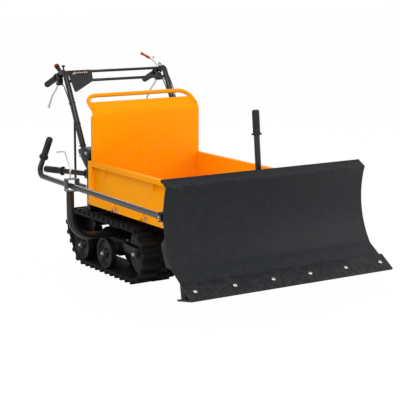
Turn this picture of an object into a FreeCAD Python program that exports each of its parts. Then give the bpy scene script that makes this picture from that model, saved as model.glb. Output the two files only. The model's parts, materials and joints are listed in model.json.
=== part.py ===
"""Walk-behind crawler carrier with an extendable dump bed and a front plough, as separate named pieces.

Millimetres. x points to the machine's left, y to the rear, z up. The origin is on the ground, under the
middle of the whole machine. The plough is drawn on the ground and then raised about its lift hinge.
"""
import FreeCAD, Part
import Sketcher
import math
import os

Vector = FreeCAD.Vector
X_AXIS = Vector(1, 0, 0)
Y_AXIS = Vector(0, 1, 0)
Z_AXIS = Vector(0, 0, 1)
SIDES = (("right", -1), ("left", 1))

doc = FreeCAD.newDocument("CrawlerCarrier")
sheet = doc.addObject("Spreadsheet::Sheet", "Sizes")

# alias, millimetres or degrees, what it is
SIZES = (
    ("steel_plate", 6, "thickness of cut brackets"),
    ("fit_gap", 0.3, "running gap between curved faces"),
    # tracks
    ("track_outer_x", 343, "outer face of each track from the middle"),
    ("track_width", 198, "width of a track"),
    ("lug_height", 18, "height of a lug above the belt"),
    ("lug_root", 27, "length of a lug where it leaves the belt"),
    ("lug_tip", 15, "length of a lug at its tip"),
    ("belt_thick", 8, "thickness of the belt"),
    ("lug_count", 36, "lugs round one track"),
    ("idler_y", -30, "front idler axle"),
    ("idler_tip_r", 142, "lug tip radius round the idler, also its axle height"),
    ("roller_front_y", 232, "front road roller axle"),
    ("roller_rear_y", 470, "rear road roller axle"),
    ("roller_tip_r", 102, "lug tip radius round a roller, also its axle height"),
    ("sprocket_y", 537, "drive axle"),
    ("sprocket_z", 189, "drive axle height"),
    ("sprocket_tip_r", 95, "lug tip radius round the sprocket"),
    ("roller_disc", 34, "width of one roller disc"),
    ("axle_r", 12, "roller axle radius"),
    ("hub_r", 24, "roller hub radius"),
    ("shaft_r", 15, "half shaft radius"),
    ("sprocket_disc", 18, "thickness of the sprocket disc"),
    ("sprocket_teeth", 9, "teeth on the sprocket"),
    # chassis
    ("rail_in_x", 92, "inner face of a chassis rail"),
    ("rail_out_x", 132, "outer face of a chassis rail"),
    ("rail_bottom_z", 235, "underside of the chassis rails"),
    ("rail_top_z", 285, "top of the chassis rails"),
    ("rail_front_y", -205, "front of the chassis"),
    ("rail_rear_y", 690, "rear of the chassis rails"),
    ("skirt_x", 126, "outer face of the plates that carry the track frames"),
    ("skirt_front_y", 100, "front of those plates"),
    ("skirt_rear_y", 495, "rear of those plates"),
    ("skirt_bottom_z", 118, "underside of those plates"),
    ("beam_half", 20, "half width of a track beam"),
    ("beam_front_y", 104, "front of a track beam"),
    ("beam_rear_y", 452, "rear of a track beam"),
    ("beam_bottom_z", 130, "underside of a track beam"),
    ("beam_top_z", 170, "top of a track beam"),
    ("cross_tube_r", 17, "radius of the tubes from chassis to track beams"),
    ("cross_front_y", 130, "front cross tube"),
    ("cross_rear_y", 352, "rear cross tube"),
    ("crossbeam_front_y", 412, "front face of the rear crossbeam"),
    ("crossbeam_depth", 30, "depth of the rear crossbeam along the machine"),
    ("crossbeam_top_z", 315, "top of the rear crossbeam"),
    ("deck_thick", 6, "thickness of the engine deck"),
    # dump bed
    ("bed_half", 329, "half width of the bed over its rims"),
    ("bed_front_y", -476, "front face of the bed"),
    ("bed_rear_y", 403, "rear face of the bed"),
    ("bed_bottom_z", 323, "underside of the bed"),
    ("bed_rim_z", 545, "top of the bed rims"),
    ("bed_floor_z", 365, "top of the bed floor"),
    ("sheet_thick", 3, "sheet metal of the bed"),
    ("rim_width", 20, "how far a rim stands out from its wall"),
    ("rim_drop", 24, "height of a folded rim"),
    ("bed_post_depth", 32, "depth of the bed's rear corner posts"),
    ("side_front_y", -446, "front end of the side walls"),
    ("slide_gap", 1, "gap between a side wall and what it slides past"),
    ("side_travel", 100, "travel of a side wall"),
    ("slide_bar_r", 8, "radius of the slide bars"),
    ("slide_bar_z", 342, "height of the slide bars"),
    ("slide_rear_y", 146, "rear slide bar"),
    ("slide_front_y", -134, "front slide bar"),
    ("bed_hinge_y", -230, "bed hinge"),
    ("bed_hinge_z", 300, "bed hinge height"),
    ("bed_hinge_x", 106, "middle of a bed hinge"),
    ("bed_pin_r", 8, "bed hinge pin radius"),
    # headboard
    ("head_half", 316, "half width of the headboard"),
    ("head_bend_z", 771, "height where the headboard starts to curve back"),
    ("head_bend_r", 42, "radius of that curve"),
    ("head_lean", 55, "angle of the headboard's top part from upright"),
    ("head_top_run", 53, "straight stretch at the top of the headboard"),
    ("rail_tube_r", 10.5, "radius of the tube rail"),
    ("rail_slot", 38.5, "hand slot between the plate and the tube rail"),
    ("rail_corner_r", 62, "corner radius of the tube rail"),
    # handlebar
    ("bar_x", 301, "middle plane of each handlebar tube"),
    ("bar_r", 14, "handlebar tube radius"),
    ("bar_base_y", 484, "foot of the handlebar"),
    ("bar_base_z", 568, "foot height of the handlebar"),
    ("bar_top_y", 702, "top corner of the handlebar"),
    ("bar_top_z", 980, "height of that corner"),
    ("bar_top_r", 32, "bend radius there"),
    ("grip_start_y", 785, "front end of the hand grips"),
    ("grip_start_z", 937, "height there"),
    ("grip_end_y", 910.2, "rear end of the hand grips"),
    ("grip_end_z", 886.6, "height there"),
    ("grip_r", 16, "hand grip radius"),
    ("crossbar_r", 7.5, "handlebar crossbar radius"),
    ("crossbar_top_y", 727, "upper crossbar"),
    ("crossbar_top_z", 965, "upper crossbar height"),
    ("crossbar_low_y", 672, "lower crossbar"),
    ("crossbar_low_z", 923.5, "lower crossbar height"),
    ("console_slope", 50.6, "degrees of the console plate from level"),
    ("console_thick", 4, "thickness of the console plate"),
    ("strut_y", 594, "thin uprights under the handlebar"),
    ("strut_r", 6, "radius of those uprights"),
    ("strut_top_z", 744, "where they meet the handlebar's tubes"),
    # plough
    ("lift_y", -175, "plough lift hinge"),
    ("lift_z", 110, "plough lift hinge height"),
    ("plough_raise", 10, "degrees that the plough is raised from the ground"),
    ("lift_pin_r", 10, "lift pin radius"),
    ("arm_x", 60, "middle of each plough arm tube"),
    ("arm_half", 20, "half width of an arm tube"),
    ("arm_bottom_z", 50, "underside of the arm with the plough down"),
    ("arm_top_z", 90, "top of the arm with the plough down"),
    ("swivel_y", -690, "swivel pin"),
    ("swivel_pin_r", 15, "swivel pin radius"),
    ("swivel_r", 24, "outside of the swivel sleeve"),
    ("swivel_bottom_z", 62, "foot of the swivel sleeve"),
    ("swivel_top_z", 300, "top of the swivel sleeve"),
    ("blade_half", 545.5, "half width of the moldboard"),
    ("strip_over", 6.5, "how far the cutting strip stands out past the moldboard"),
    ("blade_r", 390, "front radius of the moldboard"),
    ("blade_face_y", -732, "moldboard face at its hollow"),
    ("blade_centre_z", 300, "height of the hollow"),
    ("blade_top_z", 492, "top of the curve"),
    ("blade_kink_z", 133, "height where the curve ends in the flat toe"),
    ("blade_sheet", 5, "moldboard sheet"),
    ("toe_slope", 43.8, "degrees of the toe from level"),
    ("toe_length", 150, "length of the toe"),
    ("strip_back", 86, "how far along the toe the strip starts"),
    ("strip_width", 98, "width of the cutting strip"),
    ("strip_thick", 9, "thickness of the cutting strip"),
    ("top_flange", 54, "width of the top flange"),
    ("top_flange_slope", 39, "degrees of the top flange from level"),
    ("top_lip", 16, "lip behind the top flange"),
    ("rib_depth", 37, "depth of the ribs behind the blade"),
    ("skid_inset", 29.5, "middle of each skid from the moldboard's end"),
    ("skid_half", 27, "half width of a skid"),
    ("skid_bottom_z", 5, "underside of the skids with the plough down"),
    ("skid_front_y", -888, "toe of a skid"),
    ("skid_rear_y", -778, "heel of a skid"),
    ("skid_plate", 7, "thickness of a skid"),
    # angle linkage
    ("rod_inset", 15.5, "middle of the angle rod from the moldboard's right end"),
    ("rod_r", 13.5, "angle rod radius"),
    ("knuckle_y", -700, "angle rod knuckle with the plough down"),
    ("knuckle_z", 365, "knuckle height with the plough down"),
    ("knuckle_half", 10, "half size of the knuckle"),
    ("knuckle_pin_r", 6, "knuckle pin radius"),
    ("knuckle_lean", 5.5, "degrees that the knuckle pin leans towards the middle"),
    ("guide_y", 212, "rod guide on its column"),
    ("guide_z", 467, "middle of the rod guide"),
    ("guide_half_y", 22, "half length of the rod guide"),
    ("guide_half_z", 28, "half height of the rod guide"),
    ("guide_wall", 3, "wall of the rod guide"),
    ("rod_bend_y", 565, "bend of the angle rod"),
    ("rod_bend_z", 469, "height of that bend"),
    ("rod_bend_r", 30, "radius of that bend"),
    ("rod_top_y", 497, "where the rod enters its grip"),
    ("rod_top_z", 565, "height there"),
    ("rod_grip_length", 130, "length of the angle rod's grip"),
    ("lever_grip_length", 115, "length of the other lever grips"),
    ("column_r", 19, "column tube radius"),
    ("column_arm_z", 205, "middle of the column's cross arm"),
    ("column_bend_r", 115, "bend radius of the column"),
)


class Dim:
    """A size with the expression that gives it, so that what is worked out from it stays bound to the sheet."""

    def __init__(self, value, text):
        self.value = float(value)
        self.text = text

    def __add__(self, other):
        other = dim(other)
        return Dim(self.value + other.value, "(%s + %s)" % (self.text, other.text))

    def __radd__(self, other):
        return dim(other) + self

    def __sub__(self, other):
        other = dim(other)
        return Dim(self.value - other.value, "(%s - %s)" % (self.text, other.text))

    def __rsub__(self, other):
        return dim(other) - self

    def __mul__(self, other):
        other = dim(other)
        return Dim(self.value * other.value, "(%s * %s)" % (self.text, other.text))

    def __rmul__(self, other):
        return dim(other) * self

    def __truediv__(self, other):
        other = dim(other)
        return Dim(self.value / other.value, "(%s / %s)" % (self.text, other.text))

    def __neg__(self):
        return Dim(-self.value, "(0 - %s)" % self.text)

    def __float__(self):
        return self.value


def dim(number):
    """A plain number as a size of its own."""
    if isinstance(number, Dim):
        return number
    return Dim(number, "%.6f" % number)


def cosine(angle):
    return Dim(math.cos(math.radians(float(angle))), "cos(%s)" % dim(angle).text)


def sine(angle):
    return Dim(math.sin(math.radians(float(angle))), "sin(%s)" % dim(angle).text)


class Sizes:
    """The sheet's cells by name."""


size = Sizes()
for row, (alias, number, meaning) in enumerate(SIZES, start=1):
    sheet.set("A%d" % row, alias)
    sheet.set("B%d" % row, str(number))
    sheet.set("C%d" % row, meaning)
    sheet.setAlias("B%d" % row, alias)
doc.recompute()
for alias, number, meaning in SIZES:
    setattr(size, alias, Dim(sheet.get(alias), "Sizes.%s" % alias))
size.blade_centre_y = size.blade_face_y - size.blade_r
size.strip_half = size.blade_half + size.strip_over
size.skid_x = size.blade_half - size.skid_inset
size.rod_x = size.blade_half - size.rod_inset
size.column_top_z = size.guide_z - size.guide_half_z - size.guide_wall - size.fit_gap

pieces = []


def keep(item, label):
    """Names a finished piece, which is written out under that name."""
    item.Label = label
    pieces.append(item)
    return item


def bind(item, name, amount):
    item.setExpression(name, dim(amount).text)


def place(item, x, y, z):
    bind(item, "Placement.Base.x", x)
    bind(item, "Placement.Base.y", y)
    bind(item, "Placement.Base.z", z)


def block(x, y, z, name="Block"):
    """A box between two values on each axis."""
    item = doc.addObject("Part::Box", name)
    bind(item, "Length", dim(x[1]) - x[0])
    bind(item, "Width", dim(y[1]) - y[0])
    bind(item, "Height", dim(z[1]) - z[0])
    place(item, x[0], y[0], z[0])
    return item


TURNS = {
    "x": FreeCAD.Rotation(Y_AXIS, 90),
    "y": FreeCAD.Rotation(X_AXIS, -90),
    "z": FreeCAD.Rotation(),
}


def bar(axis, radius, low, high, across, name="Bar"):
    """A round bar along an axis, from low to high on it, and at the two other values across it."""
    item = doc.addObject("Part::Cylinder", name)
    bind(item, "Radius", radius)
    bind(item, "Height", dim(high) - low)
    item.Placement = FreeCAD.Placement(Vector(), TURNS[axis])
    where = list(across)
    where.insert("xyz".index(axis), low)
    place(item, *where)
    return item


def fuse(parts, name="Joined"):
    item = doc.addObject("Part::MultiFuse", name)
    item.Shapes = parts
    item.Refine = True
    return item


def cut(base, tools, name="Cut"):
    item = doc.addObject("Part::Cut", name)
    item.Base = base
    item.Tool = tools[0] if len(tools) == 1 else fuse(tools)
    item.Refine = True
    return item


def plane_of(body, role):
    for feature in body.Origin.OriginFeatures:
        if feature.Role == role:
            return feature
    raise ValueError(role)


def outline_sketch(body, role, points, offset=0.0):
    """A closed sketch of straight lines whose corners are bound to the sheet."""
    sketch = body.newObject("Sketcher::SketchObject", "Outline")
    sketch.AttachmentSupport = [(plane_of(body, role), "")]
    sketch.MapMode = "FlatFace"
    bind(sketch, "AttachmentOffset.Base.z", offset)
    corners = [(dim(u), dim(v)) for u, v in points]
    for index, (u, v) in enumerate(corners):
        next_u, next_v = corners[(index + 1) % len(corners)]
        start = Vector(u.value, v.value, 0)
        end = Vector(next_u.value, next_v.value, 0)
        sketch.addGeometry(Part.LineSegment(start, end), False)
    for index, corner in enumerate(corners):
        following = (index + 1) % len(corners)
        sketch.addConstraint(Sketcher.Constraint("Coincident", index, 2, following, 1))
        for kind, amount in zip(("DistanceX", "DistanceY"), corner):
            rule = Sketcher.Constraint(kind, -1, 1, index, 1, amount.value)
            number = sketch.addConstraint(rule)
            sketch.setExpression("Constraints[%d]" % number, amount.text)
    return sketch


def plate(points, low, high, name="Plate"):
    """A plate that lies across x: its outline is given in y and z, and it runs from low to high on x."""
    body = doc.addObject("PartDesign::Body", name)
    sketch = outline_sketch(body, "YZ_Plane", points, low)
    pad = body.newObject("PartDesign::Pad", "Pad")
    pad.Profile = sketch
    bind(pad, "Length", dim(high) - low)
    sketch.Visibility = False
    return body


def turned(points, name="Turned"):
    """A part turned about the x axis: its outline is given in x and radius, starting on the axis."""
    body = doc.addObject("PartDesign::Body", name)
    sketch = outline_sketch(body, "XY_Plane", points)
    spin = body.newObject("PartDesign::Revolution", "Turn")
    spin.Profile = sketch
    spin.ReferenceAxis = (sketch, ["H_Axis"])
    spin.Angle = 360
    return body


def solid(shape, name="Solid"):
    """A shape made with the geometry functions, where no feature fits."""
    item = doc.addObject("Part::Feature", name)
    item.Shape = shape
    return item


def vector(x, y, z):
    return Vector(float(x), float(y), float(z))


def rounded_path(points, radii):
    """A wire of straight runs through the points, each inner corner rounded to its radius."""
    edges = []
    start = points[0]
    for index in range(1, len(points) - 1):
        corner = points[index]
        before = (points[index - 1] - corner).normalize()
        after = (points[index + 1] - corner).normalize()
        half = before.getAngle(after) / 2
        radius = float(radii[index - 1])
        reach = radius / math.tan(half)
        middle = (before + after).normalize() * (radius / math.sin(half) - radius)
        entry = corner + before * reach
        leave = corner + after * reach
        edges.append(Part.LineSegment(start, entry).toShape())
        edges.append(Part.Arc(entry, corner + middle, leave).toShape())
        start = leave
    edges.append(Part.LineSegment(start, points[-1]).toShape())
    return Part.Wire(edges)


def tube_shape(points, radius, radii=()):
    """A round bar bent along the points."""
    path = rounded_path(points, radii)
    ring = Part.Circle(points[0], points[1] - points[0], float(radius)).toShape()
    return path.makePipeShell([Part.Wire([ring])], True, False)


def prism(wires, low, high):
    """A closed wire in the plane x = 0, less any wires inside it, drawn out from low to high on x."""
    face = Part.Face(wires[0])
    for inner in wires[1:]:
        face = face.cut(Part.Face(inner))
    face.translate(vector(low, 0, 0))
    return face.extrude(vector(dim(high) - low, 0, 0))


def mirrored(low, high, side):
    """A range on x for the left side, turned over for the right side."""
    if side > 0:
        return (dim(low), dim(high))
    return (-dim(high), -dim(low))


# Track belt: the loop round the idler, the road rollers and the sprocket

WHEELS = (
    (size.idler_y, size.idler_tip_r, size.idler_tip_r),
    (size.roller_rear_y, size.roller_tip_r, size.roller_tip_r),
    (size.sprocket_y, size.sprocket_z, size.sprocket_tip_r),
)


def belt_runs(inset):
    """The loop round the wheels, this far inside the lug tips, as arcs and straight runs in turn."""
    circles = [(Vector(0, float(y), float(z)), float(tip) - inset) for y, z, tip in WHEELS]
    normals = []
    for index, (centre, radius) in enumerate(circles):
        next_centre, next_radius = circles[(index + 1) % len(circles)]
        way = next_centre - centre
        heading = math.atan2(way.z, way.y)
        normals.append(heading - math.acos((radius - next_radius) / way.Length))
    runs = []
    for index, (centre, radius) in enumerate(circles):
        arrive = normals[index - 1]
        leave = normals[index]
        while leave < arrive:
            leave += 2 * math.pi
        runs.append(("arc", centre, radius, arrive, leave))
        next_centre, next_radius = circles[(index + 1) % len(circles)]
        out = Vector(0, math.cos(leave), math.sin(leave))
        runs.append(("line", centre + out * radius, next_centre + out * next_radius, out))
    return runs


def run_length(run):
    if run[0] == "arc":
        return run[2] * (run[4] - run[3])
    return (run[2] - run[1]).Length


def belt_point(runs, distance, height):
    """The point this far along the loop and this high above it."""
    distance = distance % sum(run_length(run) for run in runs)
    for run in runs:
        length = run_length(run)
        if distance <= length:
            break
        distance -= length
    if run[0] == "arc":
        angle = run[3] + distance / run[2]
        return run[1] + Vector(0, math.cos(angle), math.sin(angle)) * (run[2] + height)
    way = (run[2] - run[1]).normalize()
    return run[1] + way * distance + run[3] * height


def belt_inside():
    edges = []
    for run in belt_runs(float(size.lug_height + size.belt_thick)):
        if run[0] == "line":
            edges.append(Part.LineSegment(run[1], run[2]).toShape())
            continue
        ends = [run[1] + Vector(0, math.cos(a), math.sin(a)) * run[2] for a in (run[3], run[4])]
        turn = (run[3] + run[4]) / 2
        middle = run[1] + Vector(0, math.cos(turn), math.sin(turn)) * run[2]
        edges.append(Part.Arc(ends[0], middle, ends[1]).toShape())
    return Part.Wire(edges)


def belt_outside(phase):
    """The outer outline of one band of the belt, with its lugs."""
    runs = belt_runs(float(size.lug_height))
    count = int(float(size.lug_count))
    pitch = sum(run_length(run) for run in runs) / count
    corners = []
    for number in range(count):
        middle = (number + phase) * pitch
        for along, height in (
            (-float(size.lug_root) / 2, 0.0),
            (-float(size.lug_tip) / 2, float(size.lug_height)),
            (float(size.lug_tip) / 2, float(size.lug_height)),
            (float(size.lug_root) / 2, 0.0),
        ):
            corners.append(belt_point(runs, middle + along, height))
    return Part.makePolygon(corners + corners[:1])


def track(side):
    inner = size.track_outer_x - size.track_width
    middle = size.track_outer_x - size.track_width / 2
    bands = []
    for low, high, phase in ((inner, middle, 0.0), (middle, size.track_outer_x, 0.5)):
        low, high = mirrored(low, high, side)
        bands.append(prism([belt_outside(phase), belt_inside()], low, high))
    return solid(bands[0].fuse(bands[1]).removeSplitter(), "Track")


# Wheels inside the tracks

belt_depth = size.lug_height + size.belt_thick
belt_middle = size.track_outer_x - size.track_width / 2
idler_r = size.idler_tip_r - belt_depth - size.fit_gap
roller_r = size.roller_tip_r - belt_depth - size.fit_gap
sprocket_r = size.sprocket_tip_r - belt_depth - size.fit_gap
disc_outer = size.track_outer_x - 6
disc_inner = size.track_outer_x - size.track_width + 6


def roller(side, outer):
    """A dished road roller disc, turned about its axle. It is drawn with its open face at x = 0."""
    face = -side if outer else side
    outline = (
        (0, 0),
        (0, size.hub_r - 4),
        (size.roller_disc * 0.45, size.hub_r),
        (size.roller_disc * 0.6, roller_r - 16),
        (2, roller_r - 7),
        (0, roller_r - 3),
        (2, roller_r),
        (size.roller_disc - 4, roller_r),
        (size.roller_disc, roller_r - 6),
        (size.roller_disc * 0.85, size.hub_r),
        (size.roller_disc, size.hub_r - 6),
        (size.roller_disc, 0),
    )
    return turned([(face * u, v) for u, v in outline], "Roller")


def road_rollers(side):
    wheels = []
    for axle_y in (size.roller_front_y, size.roller_rear_y):
        for outer, x in ((True, disc_outer), (False, disc_inner)):
            wheel = roller(side, outer)
            place(wheel, side * x, axle_y, size.roller_tip_r)
            wheels.append(wheel)
    return fuse(wheels, "RoadRollers")


def idler(side):
    half = size.beam_half * 2
    outline = (
        (-half, 0),
        (-half, 20),
        (-30, 30),
        (-24, idler_r - 22),
        (-30, idler_r - 8),
        (-30, idler_r),
        (30, idler_r),
        (30, idler_r - 8),
        (24, idler_r - 22),
        (30, 30),
        (half, 20),
        (half, 0),
    )
    wheel = turned(outline, "Idler")
    place(wheel, side * belt_middle, size.idler_y, size.idler_tip_r)
    return wheel


def sprocket(side, shaft_end):
    """A toothed disc with its hub, on a half shaft that ends at the gearbox."""
    body = doc.addObject("PartDesign::Body", "Sprocket")
    root_r = sprocket_r - 14
    outline = (
        (-size.sprocket_disc / 2, 0),
        (-size.sprocket_disc / 2, root_r),
        (size.sprocket_disc / 2, root_r),
        (size.sprocket_disc / 2, 34),
        (30, 30),
        (30, 0),
    )
    sketch = outline_sketch(body, "XY_Plane", outline)
    spin = body.newObject("PartDesign::Revolution", "Disc")
    spin.Profile = sketch
    spin.ReferenceAxis = (sketch, ["H_Axis"])
    spin.Angle = 360
    tooth_points = ((-13, root_r - 5), (13, root_r - 5), (7, sprocket_r), (-7, sprocket_r))
    tooth_sketch = outline_sketch(body, "YZ_Plane", tooth_points, -size.sprocket_disc / 2)
    tooth = body.newObject("PartDesign::Pad", "Tooth")
    tooth.Profile = tooth_sketch
    bind(tooth, "Length", size.sprocket_disc)
    teeth = body.newObject("PartDesign::PolarPattern", "Teeth")
    teeth.Originals = [tooth]
    teeth.Axis = (sketch, ["H_Axis"])
    teeth.Angle = 360
    bind(teeth, "Occurrences", size.sprocket_teeth)
    body.Tip = teeth
    place(body, side * belt_middle, size.sprocket_y, size.sprocket_z)
    ends = sorted((side * belt_middle, side * shaft_end), key=float)
    shaft = bar("x", size.shaft_r, ends[0], ends[1], (size.sprocket_y, size.sprocket_z), "Shaft")
    return fuse([body, shaft], "DriveSprocket")


def track_frame(side):
    """The beam inside a track, its tubes to the chassis, the roller axles and the idler's fork."""
    near = belt_middle - size.beam_half
    far = belt_middle + size.beam_half
    beam_y = (size.beam_front_y, size.beam_rear_y)
    parts = [block(mirrored(near, far, side), beam_y, (size.beam_bottom_z, size.beam_top_z))]
    for tube_y in (size.cross_front_y, size.cross_rear_y):
        low, high = mirrored(size.skirt_x, near + 5, side)
        parts.append(bar("x", size.cross_tube_r, low, high, (tube_y, 150)))
    for axle_y in (size.roller_front_y, size.roller_rear_y):
        low, high = mirrored(disc_inner + size.roller_disc, disc_outer - size.roller_disc, side)
        parts.append(bar("x", size.axle_r, low, high, (axle_y, size.roller_tip_r)))
        hanger_x = mirrored(belt_middle - 14, belt_middle + 14, side)
        top = size.roller_tip_r + 20
        parts.append(block(hanger_x, (axle_y - 22, axle_y + 22), (size.roller_tip_r - 20, top)))
    hanger_x = mirrored(belt_middle - 14, belt_middle + 14, side)
    hanger_z = (size.roller_tip_r - 20, size.beam_bottom_z + 4)
    parts.append(block(hanger_x, (size.roller_front_y - 22, size.roller_front_y + 22), hanger_z))
    parts.append(block(hanger_x, (size.roller_rear_y - 38, size.beam_rear_y), hanger_z))
    hub_end = size.beam_half * 2 + size.fit_gap
    wide = belt_middle + hub_end + size.steel_plate
    narrow = belt_middle - hub_end - size.steel_plate
    yoke_y = (size.beam_front_y, size.beam_front_y + 18)
    parts.append(block(mirrored(narrow, wide, side), yoke_y, (size.beam_bottom_z, size.beam_top_z)))
    for low, high in ((narrow, narrow + size.steel_plate), (wide - size.steel_plate, wide)):
        outline = (
            (size.idler_y - 20, size.idler_tip_r - 16),
            (size.idler_y + 10, size.idler_tip_r - 22),
            (size.beam_front_y + 10, size.beam_bottom_z),
            (size.beam_front_y + 10, size.beam_top_z),
            (size.idler_y + 10, size.idler_tip_r + 22),
            (size.idler_y - 20, size.idler_tip_r + 16),
        )
        low, high = mirrored(low, high, side)
        parts.append(plate(outline, low, high, "ForkPlate"))
    return fuse(parts, "TrackFrame")


# Chassis


def main_frame():
    """Two rails with cross members, the skirts that carry the track frames and the rear crossbeam."""
    rail_z = (size.rail_bottom_z, size.rail_top_z)
    rail_y = (size.rail_front_y, size.rail_rear_y)
    parts = []
    for name, side in SIDES:
        parts.append(block(mirrored(size.rail_in_x, size.rail_out_x, side), rail_y, rail_z))
        skirt_x = mirrored(size.skirt_x - size.steel_plate, size.skirt_x, side)
        skirt_y = (size.skirt_front_y, size.skirt_rear_y)
        parts.append(block(skirt_x, skirt_y, (size.skirt_bottom_z, size.rail_bottom_z + 5)))
        ear_y = size.bed_hinge_y
        for low in (-size.steel_plate - 5, 5 + size.fit_gap):
            ear_x = mirrored(size.bed_hinge_x + low, size.bed_hinge_x + low + size.steel_plate, side)
            parts.append(bar("x", 16, ear_x[0], ear_x[1], (ear_y, size.bed_hinge_z)))
            parts.append(block(ear_x, (ear_y, size.rail_front_y + 5), (270, size.bed_hinge_z + 8)))
        pin_x = mirrored(size.bed_hinge_x - 10, size.bed_hinge_x + 10, side)
        parts.append(bar("x", size.bed_pin_r, pin_x[0], pin_x[1], (ear_y, size.bed_hinge_z)))
    inner = (-size.rail_in_x, size.rail_in_x)
    for low in (size.rail_front_y, dim(60), dim(330), size.rail_rear_y - 40):
        parts.append(block(inner, (low, low + 40), rail_z))
    beam_y = (size.crossbeam_front_y, size.crossbeam_front_y + size.crossbeam_depth)
    beam_x = (-size.bar_x - 15, size.bar_x + 15)
    parts.append(block(beam_x, beam_y, (size.rail_top_z, size.crossbeam_top_z)))
    return fuse(parts, "MainFrame")


def lift_bracket():
    """Plates under the front cross member, with the two pins that carry the plough arm."""
    parts = []
    for name, side in SIDES:
        for low, high in ((42, 50), (70, 78)):
            x = mirrored(low, high, side)
            outline = (
                (size.lift_y - 25, size.rail_bottom_z),
                (size.lift_y - 20, size.lift_z - 10),
                (size.lift_y - 10, size.lift_z - 20),
                (size.lift_y + 10, size.lift_z - 20),
                (size.lift_y + 20, size.lift_z - 10),
                (size.rail_front_y + 40, size.rail_bottom_z),
            )
            parts.append(plate(outline, x[0], x[1], "LiftPlate"))
        x = mirrored(46, 74, side)
        parts.append(bar("x", size.lift_pin_r, x[0], x[1], (size.lift_y, size.lift_z)))
        tie_y = (size.lift_y - 8, size.lift_y + 8)
        parts.append(block(mirrored(46, 74, side), tie_y, (size.rail_bottom_z - 40, size.rail_bottom_z)))
    return fuse(parts, "LiftBracket")


def rest_pads():
    pads = []
    for name, side in SIDES:
        x = mirrored(size.rail_in_x + 5, size.rail_out_x - 5, side)
        pads.append(block(x, (300, 330), (size.rail_top_z, size.bed_bottom_z - size.fit_gap)))
    return fuse(pads, "RestPads")


def engine_deck():
    deck_z = (size.rail_top_z, size.rail_top_z + size.deck_thick)
    front_y = size.crossbeam_front_y + size.crossbeam_depth
    base = block((-125, 215), (front_y, size.rail_rear_y), deck_z)
    slot = block((-92, -40), (480, 630), (size.rail_top_z - 5, size.rail_top_z + 15))
    return cut(base, [slot], "EngineDeck")


def gearbox():
    base = block((-40, 85), (440, 600), (130, size.rail_top_z))
    boss_x = ((-46, -35), (80, 91))
    bosses = [bar("x", 30, low, high, (size.sprocket_y, size.sprocket_z)) for low, high in boss_x]
    ribs = [block((-44, 89), (y, y + 6), (150, 270)) for y in (462, 494, 570)]
    return fuse([base] + bosses + ribs, "Gearbox")


def belt_cover():
    """A flat case round the belt from the engine shaft down to the gearbox."""
    top = Vector(0, 560, 400)
    low = Vector(0, 545, 270)
    top_r = 58.0
    low_r = 42.0
    way = top - low
    heading = math.atan2(way.z, way.y)
    spread = math.acos((low_r - top_r) / way.Length)
    corners = []
    for sign in (-1, 1):
        angle = heading + sign * spread
        out = Vector(0, math.cos(angle), math.sin(angle))
        corners.append((low + out * low_r, top + out * top_r))
    along = way.normalize()
    edges = [
        Part.LineSegment(corners[0][0], corners[0][1]).toShape(),
        Part.Arc(corners[0][1], top + along * top_r, corners[1][1]).toShape(),
        Part.LineSegment(corners[1][1], corners[1][0]).toShape(),
        Part.Arc(corners[1][0], low - along * low_r, corners[0][0]).toShape(),
    ]
    return solid(prism([Part.Wire(edges)], -86, -48), "BeltCover")


# Engine

engine_floor = size.rail_top_z + size.deck_thick


def engine_block():
    """Crankcase, finned cylinder and head, with the shaft that goes into the belt cover."""
    parts = [
        block((-34, 118), (470, 640), (engine_floor + 8, 425)),
        block((-30, 114), (462, 648), (engine_floor, engine_floor + 12)),
        block((5, 85), (525, 605), (420, 545)),
        bar("x", 12, -48, -30, (560, 400)),
        bar("x", 42, 112, 122, (555, 385)),
    ]
    for number in range(7):
        low = 436 + number * 15
        parts.append(block((-8, 98), (510, 618), (low, low + 5)))
    return fuse(parts, "EngineBlock")


def rounded_box(x, y, z, radius):
    shape = Part.makeBox(x[1] - x[0], y[1] - y[0], z[1] - z[0], Vector(x[0], y[0], z[0]))
    return shape.makeFillet(radius, shape.Edges)


def fuel_tank():
    tank = rounded_box((-10, 190), (455, 625), (575, 665), 24)
    cap = Part.makeCylinder(27, 20, Vector(110, 540, 660))
    feet = [Part.makeBox(16, 12, 34, Vector(x, 559, 545.3)) for x in (12, 62)]
    shape = tank.fuse([cap] + feet).removeSplitter()
    return solid(shape, "FuelTank")


def recoil_starter():
    shape = Part.makeCylinder(86, 34, Vector(122, 555, 385), X_AXIS)
    shape = shape.makeFillet(10, [edge for edge in shape.Edges if edge.CenterOfMass.x > 150])
    handle = Part.makeCylinder(9, 34, Vector(140, 478, 455), Y_AXIS)
    return solid(shape.fuse(handle).removeSplitter(), "RecoilStarter")


def muffler():
    case = rounded_box((-10, 105), (628, 700), (440, 535), 14)
    port = Part.makeBox(30, 14, 24, Vector(30, 618.3, 472))
    return solid(case.fuse(port).removeSplitter(), "Muffler")


def air_filter():
    case = rounded_box((-128, -22), (470, 610), (500, 640), 18)
    neck = Part.makeBox(17.7, 40, 30, Vector(-26, 545, 505))
    return solid(case.fuse(neck).removeSplitter(), "AirFilter")


# Handlebar


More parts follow.
